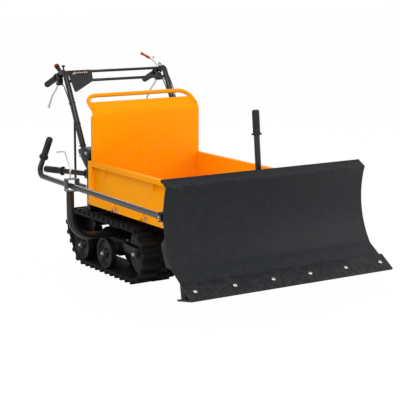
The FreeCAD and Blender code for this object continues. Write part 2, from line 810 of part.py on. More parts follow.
def handlebar_posts():
    """Uprights on the rear crossbeam, each with the sloping socket that takes the handlebar."""
    parts = []
    front_y = size.crossbeam_front_y
    rear_y = front_y + size.crossbeam_depth
    for name, side in SIDES:
        x = mirrored(size.bar_x - 15, size.bar_x + 15, side)
        parts.append(block(x, (front_y, rear_y), (size.crossbeam_top_z, 530)))
        outline = (
            (front_y, 505),
            (rear_y, 505),
            (size.bar_base_y + 33, size.bar_base_z + 4),
            (size.bar_base_y + 37, size.bar_base_z + 20),
            (size.bar_base_y - 32, size.bar_base_z + 41),
            (size.bar_base_y - 86, size.bar_base_z + 22),
            (size.bar_base_y - 86, size.bar_base_z + 10),
            (size.bar_base_y - 78, size.bar_base_z - 12),
            (front_y, 545),
        )
        wide = mirrored(size.bar_x - 21, size.bar_x + 21, side)
        parts.append(plate(outline, wide[0], wide[1], "Socket"))
    brace_y = (front_y + 4, rear_y - 4)
    parts.append(block((-size.bar_x, size.bar_x), brace_y, (470, 492)))
    return fuse(parts, "HandlebarPosts")


def handlebar():
    """Two bent side tubes and two crossbars."""
    shapes = []
    for name, side in SIDES:
        x = side * size.bar_x
        points = [
            vector(x, size.bar_base_y, size.bar_base_z),
            vector(x, size.bar_top_y, size.bar_top_z),
            vector(x, size.grip_start_y, size.grip_start_z),
        ]
        shapes.append(tube_shape(points, size.bar_r, (float(size.bar_top_r),)))
    levels = ((size.crossbar_top_y, size.crossbar_top_z), (size.crossbar_low_y, size.crossbar_low_z))
    for y, z in levels:
        start = vector(-size.bar_x, y, z)
        shapes.append(Part.makeCylinder(float(size.crossbar_r), float(2 * size.bar_x), start, X_AXIS))
    shape = shapes[0].fuse(shapes[1:]).removeSplitter()
    socket = handlebar_posts_item.Shape
    return solid(shape.cut(socket).removeSplitter(), "Handlebar")


def hand_grips():
    start = vector(0, size.grip_start_y, size.grip_start_z)
    end = vector(0, size.grip_end_y, size.grip_end_z)
    way = end - start
    shapes = []
    for name, side in SIDES:
        place_x = vector(side * size.bar_x, 0, 0)
        grip = Part.makeCylinder(float(size.grip_r), way.Length, start + place_x, way)
        rim = Part.makeCylinder(float(size.grip_r) + 4, 5, start + place_x, way)
        last = [edge for edge in grip.Edges if (edge.CenterOfMass - place_x - end).Length < 1]
        shapes.append(grip.makeFillet(6, last).fuse(rim))
    return solid(Part.makeCompound(shapes).cut(handlebar_item.Shape), "HandGrips")


def handlebar_struts():
    """A flat bar from each post to a thin upright under the handlebar's tube."""
    parts = []
    rear_y = size.crossbeam_front_y + size.crossbeam_depth
    for name, side in SIDES:
        x = mirrored(size.bar_x - 3, size.bar_x + 3, side)
        parts.append(block(x, (rear_y, size.strut_y + 8), (390, 408)))
        where = (side * size.bar_x, size.strut_y)
        parts.append(bar("z", size.strut_r, 400, size.strut_top_z, where))
    struts = fuse(parts, "StrutBars")
    doc.recompute()
    return solid(struts.Shape.cut(handlebar_item.Shape), "Struts")


def console_plate():
    """A flat shield in front of the lower crossbar, folded under the upper one."""
    slope = math.radians(float(size.console_slope))
    down = Vector(0, -math.cos(slope), -math.sin(slope))
    out = Vector(0, -math.sin(slope), math.cos(slope))
    top = vector(0, size.crossbar_top_y, size.crossbar_top_z)
    low = vector(0, size.crossbar_low_y, size.crossbar_low_z)
    seat = float(size.crossbar_r + size.fit_gap)
    front = (low - top).dot(out) + seat
    thick = float(size.console_thick)
    outline = (
        (-285, seat), (-148, seat), (-144, seat + 12), (-157, seat + 71), (-276, seat + 134), (-285, seat + 128),
    )
    corners = [top + Vector(x, 0, 0) + down * along + out * front for x, along in outline]
    plate_shape = Part.Face(Part.makePolygon(corners + corners[:1])).extrude(out * thick)
    fold = [(seat, -12), (seat + thick, -12), (seat + thick, front + thick), (seat, front + thick)]
    ends = [top + Vector(-285, 0, 0) + down * along + out * rise for along, rise in fold]
    fold_shape = Part.Face(Part.makePolygon(ends + ends[:1])).extrude(Vector(137, 0, 0))
    return solid(plate_shape.fuse(fold_shape).removeSplitter(), "Console")


def clutch_levers():
    """A clamp under each handlebar tube and the long lever that hangs from it."""
    shapes = []
    for name, side in SIDES:
        x = side * size.bar_x
        clamp = Part.makeBox(24, 26, 38, vector(x - 12, 746, 904))
        way = ((764, 908), (797, 874), (847, 832), (889, 772))
        lever = tube_shape([vector(x, y, z) for y, z in way], 5, (30, 30))
        knob = Part.makeSphere(8, vector(x, 889, 772))
        shapes.append(clamp.fuse([lever, knob]).removeSplitter())
    levers = Part.makeCompound(shapes)
    return solid(levers.cut([handlebar_item.Shape, grips_item.Shape]), "ClutchLevers")


def stop_switch():
    x = -float(size.bar_x)
    way = Vector(0, 0.82, 0.575).normalize()
    foot = Vector(x, 744, 964)
    stalk = Part.makeCylinder(9, 46, foot, way)
    cap = Part.makeCylinder(12, 16, foot + way * 44, way)
    shape = stalk.fuse(cap).removeSplitter()
    return solid(shape.cut(handlebar_item.Shape), "StopSwitch")


def throttle_lever():
    x = float(size.bar_x)
    mount = Part.makeBox(30, 30, 18, Vector(x - 15, 752, 962))
    joint = Vector(x - 11, 806, 1006)
    tip = Vector(x - 46, 866, 1038)
    arm = tube_shape([Vector(x, 768, 974), joint, joint + (tip - joint) * 0.5], 4, (20,))
    sleeve = Part.makeCylinder(7, 58, joint + (tip - joint) * 0.2, tip - joint)
    shape = mount.fuse([arm, sleeve]).removeSplitter()
    return solid(shape.cut(handlebar_item.Shape), "ThrottleLever")


# Dump bed

wall_x = size.bed_half - size.rim_width
post_front_y = size.bed_rear_y - size.bed_post_depth


def bed_floor():
    """Floor sheet on a folded frame, with two hat ribs, hinge lugs and the rear corner posts."""
    thick = size.sheet_thick
    under = size.bed_floor_z - thick
    full_y = (size.bed_front_y, size.bed_rear_y)
    parts = [block((-size.bed_half, size.bed_half), full_y, (under, size.bed_floor_z))]
    for name, side in SIDES:
        web = mirrored(size.bed_half - thick, size.bed_half, side)
        parts.append(block(web, full_y, (size.bed_bottom_z, under)))
        foot = mirrored(size.bed_half - 22, size.bed_half - thick, side)
        parts.append(block(foot, full_y, (size.bed_bottom_z, size.bed_bottom_z + thick)))
        rib = mirrored(size.bed_hinge_x - 17, size.bed_hinge_x + 17, side)
        parts.append(block(rib, full_y, (size.bed_bottom_z, under)))
        lug = mirrored(size.bed_hinge_x - 5 + size.fit_gap, size.bed_hinge_x + 5, side)
        lug_y = (size.bed_hinge_y - 16, size.bed_hinge_y + 16)
        parts.append(bar("x", 16, lug[0], lug[1], (size.bed_hinge_y, size.bed_hinge_z)))
        parts.append(block(lug, lug_y, (size.bed_hinge_z, size.bed_bottom_z)))
        post = mirrored(wall_x, size.bed_half, side)
        post_y = (post_front_y, size.bed_rear_y)
        parts.append(block(post, post_y, (size.bed_floor_z, size.bed_rim_z)))
    for low in (size.bed_front_y, size.bed_rear_y - thick):
        parts.append(block((-size.bed_half, size.bed_half), (low, low + thick), (size.bed_bottom_z, under)))
    holes = []
    for name, side in SIDES:
        hole_x = mirrored(size.bed_hinge_x - 10, size.bed_hinge_x + 10, side)
        pin_hole = size.bed_pin_r + size.fit_gap
        holes.append(bar("x", pin_hole, hole_x[0], hole_x[1], (size.bed_hinge_y, size.bed_hinge_z)))
        for bar_y in (size.slide_front_y, size.slide_rear_y):
            hole_x = mirrored(size.bed_hinge_x - 30, size.bed_half + 5, side)
            slide_hole = size.slide_bar_r + size.fit_gap
            holes.append(bar("x", slide_hole, hole_x[0], hole_x[1], (bar_y, size.slide_bar_z)))
    return cut(fuse(parts), holes, "BedFloor")


def headboard():
    """A high rear wall whose top curves back, with folded edges."""
    front = post_front_y
    lean = math.radians(float(size.head_lean))
    bend_r = float(size.head_bend_r)
    bottom = vector(0, front, size.bed_floor_z)
    bend = vector(0, front, size.head_bend_z)
    centre = bend + Vector(0, bend_r, 0)

    def leaf(radius):
        turn = lean / 2
        middle = centre - Vector(0, math.cos(turn), -math.sin(turn)) * radius
        end = centre - Vector(0, math.cos(lean), -math.sin(lean)) * radius
        return middle, end

    run = Vector(0, math.sin(lean), math.cos(lean)) * float(size.head_top_run)
    thick = float(size.sheet_thick)
    outer_middle, outer_end = leaf(bend_r)
    inner_middle, inner_end = leaf(bend_r - thick)
    back = Vector(0, thick, 0)
    edges = [
        Part.LineSegment(bottom, bend).toShape(),
        Part.Arc(bend, outer_middle, outer_end).toShape(),
        Part.LineSegment(outer_end, outer_end + run).toShape(),
        Part.LineSegment(outer_end + run, inner_end + run).toShape(),
        Part.LineSegment(inner_end + run, inner_end).toShape(),
        Part.Arc(inner_end, inner_middle, bend + back).toShape(),
        Part.LineSegment(bend + back, bottom + back).toShape(),
        Part.LineSegment(bottom + back, bottom).toShape(),
    ]
    profile = Part.Wire(edges)
    low = prism([profile], -wall_x, wall_x)
    above = Part.makeBox(2000, 2000, 2000, vector(-1000, -1000, size.bed_rim_z))
    wide = prism([profile], -size.head_half, size.head_half).common(above)
    shape = low.fuse(wide).removeSplitter()
    tip = outer_end + run
    rail = headboard_rail_shape(tip, run.normalize())
    folds = []
    for name, side in SIDES:
        x = mirrored(size.head_half - thick, size.head_half, side)
        height = float(size.head_bend_z - size.bed_rim_z)
        corner = vector(x[0], front, size.bed_rim_z)
        folds.append(Part.makeBox(thick, 20, height, corner))
    return solid(shape.fuse(folds + [rail]).removeSplitter(), "Headboard")


def headboard_rail_shape(tip, along):
    """The tube rail: up from one side edge, across the top and down the other edge."""
    radius = float(size.rail_tube_r)
    level = tip + along * (float(size.rail_slot) + radius)
    edge_x = float(size.head_half) - radius
    start = tip - along * 55
    points = [
        Vector(-edge_x, start.y, start.z),
        Vector(-edge_x, level.y, level.z),
        Vector(edge_x, level.y, level.z),
        Vector(edge_x, start.y, start.z),
    ]
    corner = float(size.rail_corner_r)
    return tube_shape(points, radius, (corner, corner))


def front_wall():
    thick = size.sheet_thick
    wall = block((-wall_x, wall_x), (size.bed_front_y, size.bed_front_y + thick), (size.bed_floor_z, size.bed_rim_z))
    front_y = size.bed_front_y
    rim_z = (size.bed_rim_z - size.rim_drop, size.bed_rim_z)
    rim = block((-wall_x, wall_x), (front_y, front_y + size.rim_width), rim_z)
    parts = [wall, rim]
    for name, side in SIDES:
        post = mirrored(wall_x, size.bed_half, side)
        post_y = (front_y, size.side_front_y - size.slide_gap - 2)
        parts.append(block(post, post_y, (size.bed_floor_z, size.bed_rim_z)))
    return fuse(parts, "FrontWall")


def side_wall(side):
    """A side wall with folded rim, gussets, a flap on the floor, and the two bars that it slides on."""
    thick = size.sheet_thick
    low_z = size.bed_floor_z + slide_lift
    along = (size.side_front_y, post_front_y - size.slide_gap)
    parts = [
        block(mirrored(wall_x - thick, wall_x, side), along, (low_z, size.bed_rim_z)),
        block(mirrored(wall_x - thick, size.bed_half, side), along, (size.bed_rim_z - thick, size.bed_rim_z)),
        block(
            mirrored(size.bed_half - thick, size.bed_half, side),
            along,
            (size.bed_rim_z - size.rim_drop, size.bed_rim_z),
        ),
        block(mirrored(wall_x - size.side_travel - 10, wall_x, side), along, (low_z, low_z + thick)),
    ]
    for gusset_y in (245, -224):
        x = mirrored(wall_x - 1, size.bed_half - thick, side)
        parts.append(block(x, (gusset_y, gusset_y + 4), (size.bed_rim_z - 62, size.bed_rim_z - 1)))
    lug_out = size.bed_half + size.slide_gap + 5
    for bar_y in (size.slide_front_y, size.slide_rear_y):
        tab_y = (bar_y - 16, bar_y + 16)
        parts.append(block(mirrored(wall_x - 1, lug_out, side), tab_y, (low_z, low_z + 4)))
        drop = mirrored(size.bed_half + size.slide_gap, lug_out, side)
        parts.append(block(drop, tab_y, (size.slide_bar_z - 14, low_z + 4)))
        ends = mirrored(size.bed_hinge_x + 25, lug_out - 1, side)
        parts.append(bar("x", size.slide_bar_r, ends[0], ends[1], (bar_y, size.slide_bar_z)))
    return fuse(parts, "SideWall")


slide_lift = size.fit_gap * 2


def bed_pins():
    """Lock pins with pull rings on the lower rails, beside the slide bars."""
    shapes = []
    for name, side in SIDES:
        for bar_y in (size.slide_front_y, size.slide_rear_y):
            y = float(bar_y) - 32
            x = side * (float(size.bed_half) + 3.5)
            pin = Part.makeCylinder(3, 8, Vector(side * float(size.bed_half), y, 350), X_AXIS * side)
            face = Vector(x - 1.5, y, 339)
            ring = Part.makeCylinder(11.5, 3, face, X_AXIS).cut(Part.makeCylinder(8, 3, face, X_AXIS))
            shapes.append(pin.fuse(ring).removeSplitter())
    return solid(Part.makeCompound(shapes), "BedPins")


# Plough, drawn with its skids on the ground


def raise_plough(item):
    """Turns a finished plough piece up about the lift hinge."""
    centre = vector(0, size.lift_y, size.lift_z)
    turn = FreeCAD.Rotation(X_AXIS, -float(size.plough_raise))
    item.Placement = FreeCAD.Placement(Vector(), turn, centre).multiply(item.Placement)
    return item


def raised_point(y, z):
    centre = vector(0, size.lift_y, size.lift_z)
    turn = FreeCAD.Rotation(X_AXIS, -float(size.plough_raise))
    return turn.multVec(vector(0, y, z) - centre) + centre


def plough_arm():
    """Two arm tubes, their hinge ears, the cross block, a web and the swivel sleeve."""
    parts = []
    tube_z = (size.arm_bottom_z, size.arm_top_z)
    for name, side in SIDES:
        x = mirrored(size.arm_x - size.arm_half, size.arm_x + size.arm_half, side)
        parts.append(block(x, (size.swivel_y + 40, size.lift_y - 50), tube_z))
        ear = mirrored(size.arm_x - 9, size.arm_x + 9, side)
        outline = (
            (size.lift_y - 62, size.arm_bottom_z),
            (size.lift_y - 14, size.lift_z - 20),
            (size.lift_y + 14, size.lift_z - 20),
            (size.lift_y + 20, size.lift_z - 8),
            (size.lift_y + 20, size.lift_z + 8),
            (size.lift_y + 10, size.lift_z + 20),
            (size.lift_y - 12, size.lift_z + 20),
            (size.lift_y - 62, size.arm_top_z),
        )
        parts.append(plate(outline, ear[0], ear[1], "ArmEar"))
    rear_y = size.swivel_y + 60
    parts.append(block((-80, 80), (size.swivel_y + 30, rear_y), tube_z))
    parts.append(block((-12, 12), (size.swivel_y + 18, rear_y), (size.arm_top_z, size.swivel_top_z)))
    sleeve_at = (dim(0), size.swivel_y)
    parts.append(bar("z", size.swivel_r, size.swivel_bottom_z, size.swivel_top_z, sleeve_at))
    foot_y = (size.swivel_y + 18, size.swivel_y + 35)
    parts.append(block((-12, 12), foot_y, (size.swivel_bottom_z + 4, size.arm_top_z + 2)))
    bore = size.swivel_pin_r + size.fit_gap
    holes = [bar("z", bore, size.swivel_bottom_z - 5, size.swivel_top_z + 5, sleeve_at)]
    for name, side in SIDES:
        x = mirrored(size.arm_x - 15, size.arm_x + 15, side)
        holes.append(bar("x", size.lift_pin_r + size.fit_gap, x[0], x[1], (size.lift_y, size.lift_z)))
    return raise_plough(cut(fuse(parts), holes, "PloughArm"))


def lift_lever():
    """The hand lever behind the blade, which lifts the plough."""
    points = [
        vector(0, size.swivel_y + 46, size.swivel_top_z),
        vector(0, size.swivel_y + 46, 360),
        vector(0, size.swivel_y - 2, 510),
        vector(0, size.swivel_y - 15, 680),
    ]
    shape = tube_shape(points, size.rod_r, (60, 120))
    grip = lever_grip(points[-1], points[-1] - points[-2], size.lever_grip_length)
    return raise_plough(solid(shape.fuse(grip).removeSplitter(), "LiftLever"))


def lever_grip(start, way, length):
    """A rubber grip with a flange at its foot."""
    way = way.normalize()
    length = float(length)
    grip = Part.makeCylinder(float(size.grip_r), length, start, way)
    end = start + way * length
    last = [edge for edge in grip.Edges if (edge.CenterOfMass - end).Length < 1]
    grip = grip.makeFillet(5, last)
    flange = Part.makeCylinder(float(size.grip_r) + 6, 5, start + way * 3, way)
    return grip.fuse(flange)


def blade_point(radius, z):
    """A point on a moldboard curve of this radius."""
    rise = float(z) - float(size.blade_centre_z)
    return vector(0, float(size.blade_centre_y) + math.sqrt(radius * radius - rise * rise), z)


def toe_way():
    slope = math.radians(float(size.toe_slope))
    return Vector(0, -math.cos(slope), -math.sin(slope))


def toe_out():
    slope = math.radians(float(size.toe_slope))
    return Vector(0, -math.sin(slope), math.cos(slope))


def arc_between(radius, low, high):
    """Part of a moldboard curve between two heights."""
    return Part.Arc(
        blade_point(radius, low),
        blade_point(radius, (float(low) + float(high)) / 2),
        blade_point(radius, high),
    ).toShape()


# low x of a blade rib, its lower end, its upper end
BLADE_RIBS = (
    (-size.blade_half, 140, 275),
    (-220, 150, 470),
    (-70, 150, 470),
    (64, 150, 470),
    (214, 150, 470),
    (size.blade_half - 6, 140, 275),
)


def moldboard():
    """A curved sheet with a flat toe and a top flange, ribs behind it and the brackets of its pins."""
    sheet_t = float(size.blade_sheet)
    front_r = float(size.blade_r)
    back_r = front_r + sheet_t
    kink = size.blade_kink_z
    top = size.blade_top_z
    toe = toe_way() * float(size.toe_length)
    slope = math.radians(float(size.top_flange_slope))
    flange = Vector(0, math.cos(slope), math.sin(slope)) * float(size.top_flange)
    flange_down = Vector(0, math.sin(slope), -math.cos(slope)) * sheet_t
    front_kink = blade_point(front_r, kink)
    back_kink = blade_point(back_r, kink)
    front_top = blade_point(front_r, top)
    back_top = blade_point(back_r, float(top) - 3)
    edges = [
        Part.LineSegment(front_kink + toe, front_kink).toShape(),
        arc_between(front_r, kink, top),
        Part.LineSegment(front_top, front_top + flange).toShape(),
        Part.LineSegment(front_top + flange, front_top + flange + flange_down).toShape(),
        Part.LineSegment(front_top + flange + flange_down, back_top).toShape(),
        arc_between(back_r, kink, float(top) - 3).reversed(),
        Part.LineSegment(back_kink, back_kink + toe).toShape(),
        Part.LineSegment(back_kink + toe, front_kink + toe).toShape(),
    ]
    wire = Part.Wire(Part.__sortEdges__(edges))
    shape = prism([wire], -size.blade_half, size.blade_half)
    lip_top = front_top + flange
    lip = Part.makeBox(
        float(2 * size.blade_half), sheet_t, float(size.top_lip),
        vector(-size.blade_half, lip_top.y - sheet_t, lip_top.z - float(size.top_lip)),
    )
    parts = [lip]
    rib_r = back_r + float(size.rib_depth)
    for x, low, high in BLADE_RIBS:
        rib_edges = [
            arc_between(back_r - 2, low, high),
            Part.LineSegment(blade_point(back_r - 2, high), blade_point(rib_r, high - 25)).toShape(),
            arc_between(rib_r, low + 10, high - 25),
            Part.LineSegment(blade_point(rib_r, low + 10), blade_point(back_r - 2, low)).toShape(),
        ]
        rib = Part.Wire(Part.__sortEdges__(rib_edges))
        parts.append(prism([rib], x, x + 6))
    return shape.fuse(parts + blade_brackets()).removeSplitter()


def leaned(shape):
    """Leans a shape about the knuckle, so that the rod keeps level while the blade turns."""
    centre = vector(-size.rod_x, size.knuckle_y, size.knuckle_z)
    shape.rotate(centre, Y_AXIS, float(size.knuckle_lean))
    return shape


def blade_brackets():
    """The swivel pin with its two plates, and the two plates of the angle rod's knuckle."""
    pin = Part.makeCylinder(
        float(size.swivel_pin_r), float(size.swivel_top_z - size.swivel_bottom_z) + 20,
        vector(0, size.swivel_y, size.swivel_bottom_z - 10),
    )
    shapes = [pin]
    gap = float(size.fit_gap)
    for low in (float(size.swivel_bottom_z) - gap - 10, float(size.swivel_top_z) + gap):
        front = blade_point(float(size.blade_r) + 2, max(low, float(size.blade_kink_z))).y
        depth = float(size.swivel_y) - front
        ear = Part.makeBox(80, depth, 10, Vector(-40, front, low))
        round_end = Part.makeCylinder(22, 10, vector(0, size.swivel_y, low))
        shapes.append(ear.fuse(round_end))
    x = -float(size.rod_x)
    for low in (float(size.knuckle_z) - 21 - gap, float(size.knuckle_z) + 15 + gap):
        front = blade_point(float(size.blade_r) + 2, low + 3).y
        depth = float(size.knuckle_y) + 12 - front
        ear = Part.makeBox(30, depth, 6, Vector(x - 15, front, low))
        hole = Part.makeCylinder(float(size.knuckle_pin_r) + gap, 20, vector(x, size.knuckle_y, low - 5))
        shapes.append(leaned(ear.cut(hole)))
    return shapes


def cutting_strip():
    start = blade_point(float(size.blade_r), size.blade_kink_z) + toe_way() * float(size.strip_back)
    end = start + toe_way() * float(size.strip_width)
    out = toe_out() * float(size.strip_thick)
    wire = Part.makePolygon([start, end, end + out, start + out, start])
    return solid(prism([wire], -size.strip_half, size.strip_half), "CuttingStrip")


def skid_shoes():
    """A turned-up sole under each end of the blade, with a stem up to the moldboard's toe."""
    shapes = []
    bottom = float(size.skid_bottom_z)
    top = bottom + float(size.skid_plate)
    front = float(size.skid_front_y)
    rear = float(size.skid_rear_y)
    back_kink = blade_point(float(size.blade_r + size.blade_sheet), size.blade_kink_z)
    slope = math.tan(math.radians(float(size.toe_slope)))

    def under_toe(y):
        return back_kink.z + (y - back_kink.y) * slope

    for name, side in SIDES:
        low, high = mirrored(size.skid_x - size.skid_half, size.skid_x + size.skid_half, side)
        sole = Part.makePolygon([
            Vector(0, front, bottom + 3), Vector(0, front + 12, bottom), Vector(0, rear, bottom),
            Vector(0, rear, top), Vector(0, front, top), Vector(0, front, bottom + 3),
        ])
        stem = Part.makePolygon([
            Vector(0, rear - 40, top - 1), Vector(0, rear, top - 1), Vector(0, rear, under_toe(rear)),
            Vector(0, rear - 40, under_toe(rear - 40)), Vector(0, rear - 40, top - 1),
        ])
        middle = side * size.skid_x
        shapes.append(prism([sole], low, high).fuse(prism([stem], middle - 6, middle + 6)).removeSplitter())
    return solid(Part.makeCompound(shapes), "SkidShoes")


# Angle linkage


def rod_knuckle():
    """A block that turns between the blade's plates and carries the rod's fork on its cross pin."""
    half = float(size.knuckle_half)
    x = -float(size.rod_x)
    y = float(size.knuckle_y)
    z = float(size.knuckle_z)
    core = Part.makeBox(2 * half, 2 * half, 22, Vector(x - half, y - half, z - 11))
    collar = leaned(Part.makeCylinder(half - 1, 30, Vector(x, y, z - 15)))
    upright = leaned(Part.makeCylinder(float(size.knuckle_pin_r), 46, Vector(x, y, z - 23)))
    cross = Part.makeCylinder(float(size.knuckle_pin_r), 36, Vector(x - 18, y, z), X_AXIS)
    return solid(core.fuse([collar, upright, cross]).removeSplitter(), "RodKnuckle")


def angle_rod():
    """A long bar from the knuckle through the guide to the hand lever at its rear."""
    eye = raised_point(size.knuckle_y, size.knuckle_z)
    x = -float(size.rod_x)
    front = Vector(x, eye.y + 26, 0)
    bend = vector(x, size.rod_bend_y, size.rod_bend_z)
    front.z = eye.z + (bend.z - eye.z) * (front.y - eye.y) / (bend.y - eye.y)
    top = vector(x, size.rod_top_y, size.rod_top_z)
    rod = tube_shape([front, bend, top], size.rod_r, (float(size.rod_bend_r),))
    inner = float(size.knuckle_half) + float(size.fit_gap)
    parts = [rod, lever_grip(top, top - bend, size.rod_grip_length)]
    for low in (inner, -inner - 5):
        cheek = Part.makeBox(5, 44, 20, Vector(x + low, eye.y - 12, eye.z - 10))
        parts.append(cheek)
    parts.append(Part.makeBox(2 * inner + 10, 10, 20, Vector(x - inner - 5, eye.y + 22, eye.z - 10)))
    fork = parts[0].fuse(parts[1:]).removeSplitter()
    hole = Part.makeCylinder(
        float(size.knuckle_pin_r) + float(size.fit_gap), 60, Vector(x - 30, eye.y, eye.z), X_AXIS,
    )
    return solid(fork.cut(hole), "AngleRod")


def plough_column():
    """A column tube that bends in under the bed and runs through the right track to the chassis."""
    y = size.guide_y
    points = [
        vector(-size.rod_x, y, size.column_top_z),
        vector(-size.rod_x, y, size.column_arm_z),
        vector(-size.skirt_x - 6, y, size.column_arm_z),
    ]
    tube = tube_shape(points, size.column_r, (size.column_bend_r,))
    flange_x = float(-size.skirt_x - 8)
    flange = Part.makeCylinder(30, 8, vector(flange_x, y, size.column_arm_z), X_AXIS)
    return solid(tube.fuse(flange).removeSplitter(), "PloughColumn")


def rod_guide():
    """A box on top of the column that the angle rod slides through, open to the front and rear."""
    wall = size.guide_wall
    low = size.guide_z - size.guide_half_z
    high = size.guide_z + size.guide_half_z
    y = (size.guide_y - size.guide_half_y, size.guide_y + size.guide_half_y)
    outer_x = -size.rod_x - 22
    inner_x = -size.rod_x + 41
    shell = block((outer_x, inner_x), y, (low - wall, high + wall))
    window = block((outer_x + wall, inner_x - wall), (y[0] - 5, y[1] + 5), (low, high))
    return cut(shell, [window], "RodGuide")


def lock_pin():
    """A bent pin that stands in the guide's roof, with a small cross piece."""
    x = -float(size.rod_x) - 10
    y = float(size.guide_y)
    roof = float(size.guide_z + size.guide_half_z + size.guide_wall + size.fit_gap)
    points = [
        Vector(x, y - 17, roof + 0.5), Vector(x, y - 27, roof + 46),
        Vector(x, y + 31, roof + 130), Vector(x, y + 112, roof + 117),
    ]
    pin = tube_shape(points, 3.5, (20, 12))
    cross = Part.makeCylinder(3, 24, Vector(x - 8, y - 31, roof + 42), Vector(0.8, 0.4, 0.4))
    return solid(pin.fuse(cross).removeSplitter(), "LockPin")


def hand_lever():
    """A short lever on the right post, with its bracket and grip."""
    post_x = -float(size.bar_x) - 15
    bracket = Part.makeBox(14, 30, 44, Vector(post_x - 14, 412, 452))
    start = Vector(post_x - 10, 436, 475)
    end = Vector(-391, 553, 478)
    shape = tube_shape([start, end], size.rod_r)
    grip = lever_grip(end, end - start, size.lever_grip_length)
    return solid(bracket.fuse([shape, grip]).removeSplitter().cut(handlebar_posts_item.Shape), "HandLever")


# Assembly: every finished piece with its name

for name, side in SIDES:
    keep(track(side), "rubber_track_" + name)
    keep(road_rollers(side), "road_rollers_" + name)
    keep(idler(side), "front_idler_" + name)
    keep(track_frame(side), "track_frame_" + name)
    shaft_end = {"right": dim(46), "left": dim(91)}[name]
    keep(sprocket(side, shaft_end), "drive_sprocket_" + name)
    keep(side_wall(side), "side_wall_" + name)
keep(main_frame(), "main_frame")
keep(lift_bracket(), "lift_bracket")
keep(rest_pads(), "bed_rest_pads")
keep(engine_deck(), "engine_deck")
keep(gearbox(), "gearbox")
keep(belt_cover(), "belt_cover")
keep(engine_block(), "engine_block")
keep(fuel_tank(), "fuel_tank")
keep(recoil_starter(), "recoil_starter")
keep(muffler(), "muffler")
keep(air_filter(), "air_filter")
handlebar_posts_item = keep(handlebar_posts(), "handlebar_posts")
doc.recompute()
handlebar_item = keep(handlebar(), "handlebar")
grips_item = keep(hand_grips(), "hand_grips")
keep(handlebar_struts(), "handlebar_struts")
keep(console_plate(), "console_plate")
keep(clutch_levers(), "clutch_levers")
keep(stop_switch(), "stop_switch")
keep(throttle_lever(), "throttle_lever")
keep(bed_floor(), "bed_floor")
keep(headboard(), "headboard")
keep(front_wall(), "front_wall")
keep(bed_pins(), "bed_pins")
keep(plough_arm(), "plough_arm")
keep(lift_lever(), "lift_lever")
keep(raise_plough(solid(moldboard(), "Moldboard")), "moldboard")
keep(raise_plough(cutting_strip()), "cutting_strip")
keep(raise_plough(skid_shoes()), "skid_shoes")
keep(raise_plough(rod_knuckle()), "rod_knuckle")
keep(angle_rod(), "angle_rod")
keep(plough_column(), "plough_column")
keep(rod_guide(), "rod_guide")
keep(lock_pin(), "lock_pin")
keep(hand_lever(), "hand_lever")

doc.recompute()
for item in doc.Objects:
    if "Invalid" in item.State or "Error" in item.State:
        raise RuntimeError("failed: %s (%s)" % (item.Name, item.Label))
for item in pieces:
    if item.Shape.isNull() or not item.Shape.isValid() or not item.Shape.Solids:
        raise RuntimeError("bad shape: " + item.Label)

os.makedirs("parts", exist_ok=True)
box = FreeCAD.BoundBox()
for item in pieces:
    item.Shape.exportStep("parts/%s.step" % item.Label)
    box.add(item.Shape.BoundBox)
print(len(pieces), "pieces; box", box)
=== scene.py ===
# %% [markdown]
# # A walk-behind crawler carrier
# This lesson dresses a small tracked carrier: an orange tipping bed on rubber tracks, an engine and a
# handlebar behind it, and a curved plough blade in front. The solid frame of the machine is loaded first.
# Each cell then adds one piece or one finish, set on that frame.

# %% Load the frame
import json
import math

import bmesh
import bpy
from mathutils import Matrix, Vector


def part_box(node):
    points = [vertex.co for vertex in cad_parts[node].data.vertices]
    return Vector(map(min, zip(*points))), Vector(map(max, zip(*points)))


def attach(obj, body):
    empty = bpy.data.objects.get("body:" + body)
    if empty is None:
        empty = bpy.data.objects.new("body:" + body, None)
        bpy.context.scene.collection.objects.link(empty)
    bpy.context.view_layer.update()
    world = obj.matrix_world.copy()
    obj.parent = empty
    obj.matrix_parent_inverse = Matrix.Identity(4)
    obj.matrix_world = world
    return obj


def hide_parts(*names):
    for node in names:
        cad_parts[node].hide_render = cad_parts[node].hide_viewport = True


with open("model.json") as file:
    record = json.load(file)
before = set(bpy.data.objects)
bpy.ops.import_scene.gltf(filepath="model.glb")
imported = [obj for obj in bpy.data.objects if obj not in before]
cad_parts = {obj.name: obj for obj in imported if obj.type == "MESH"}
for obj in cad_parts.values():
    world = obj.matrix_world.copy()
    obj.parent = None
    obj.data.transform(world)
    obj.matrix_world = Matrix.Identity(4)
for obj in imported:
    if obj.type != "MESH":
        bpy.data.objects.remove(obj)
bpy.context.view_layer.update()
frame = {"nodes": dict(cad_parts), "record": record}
nodes = frame["nodes"]

# %% [markdown]
# ## Camera
# The photograph was taken with a long lens from the machine's front right. A camera that is placed by
# numbers, not by eye, gives the same overlap of blade, bed and handlebar. The lens shift only moves the
# picture on the sensor, so the perspective stays as it is.

# %% Camera
CAMERA_AT = Vector((-3.403, -5.373, 1.544))
CAMERA_BACK = Vector((-0.5309, -0.8314, 0.1637))
LENS_MM = 117.8
camera_data = bpy.data.cameras.new("camera")
camera_data.lens = LENS_MM
camera_data.sensor_width = 36
camera_data.shift_x = 0.0235
camera_data.shift_y = -0.0573
camera = bpy.data.objects.new("camera", camera_data)
bpy.context.scene.collection.objects.link(camera)
camera.location = CAMERA_AT
camera.rotation_mode = "QUATERNION"
camera.rotation_quaternion = CAMERA_BACK.to_track_quat("Z", "Y")
bpy.context.scene.camera = camera
bpy.context.scene.view_settings.view_transform = "Standard"

# %% [markdown]
# ## Floor, backdrop and light
# The product photograph has a white ground. A floor that is partly seen as pure white, and partly as a
# matt surface, stays white and still holds a soft shadow. Large soft lamps leave long gentle highlights
# on the curved sheet metal, and the world fills the shadows with an even white.

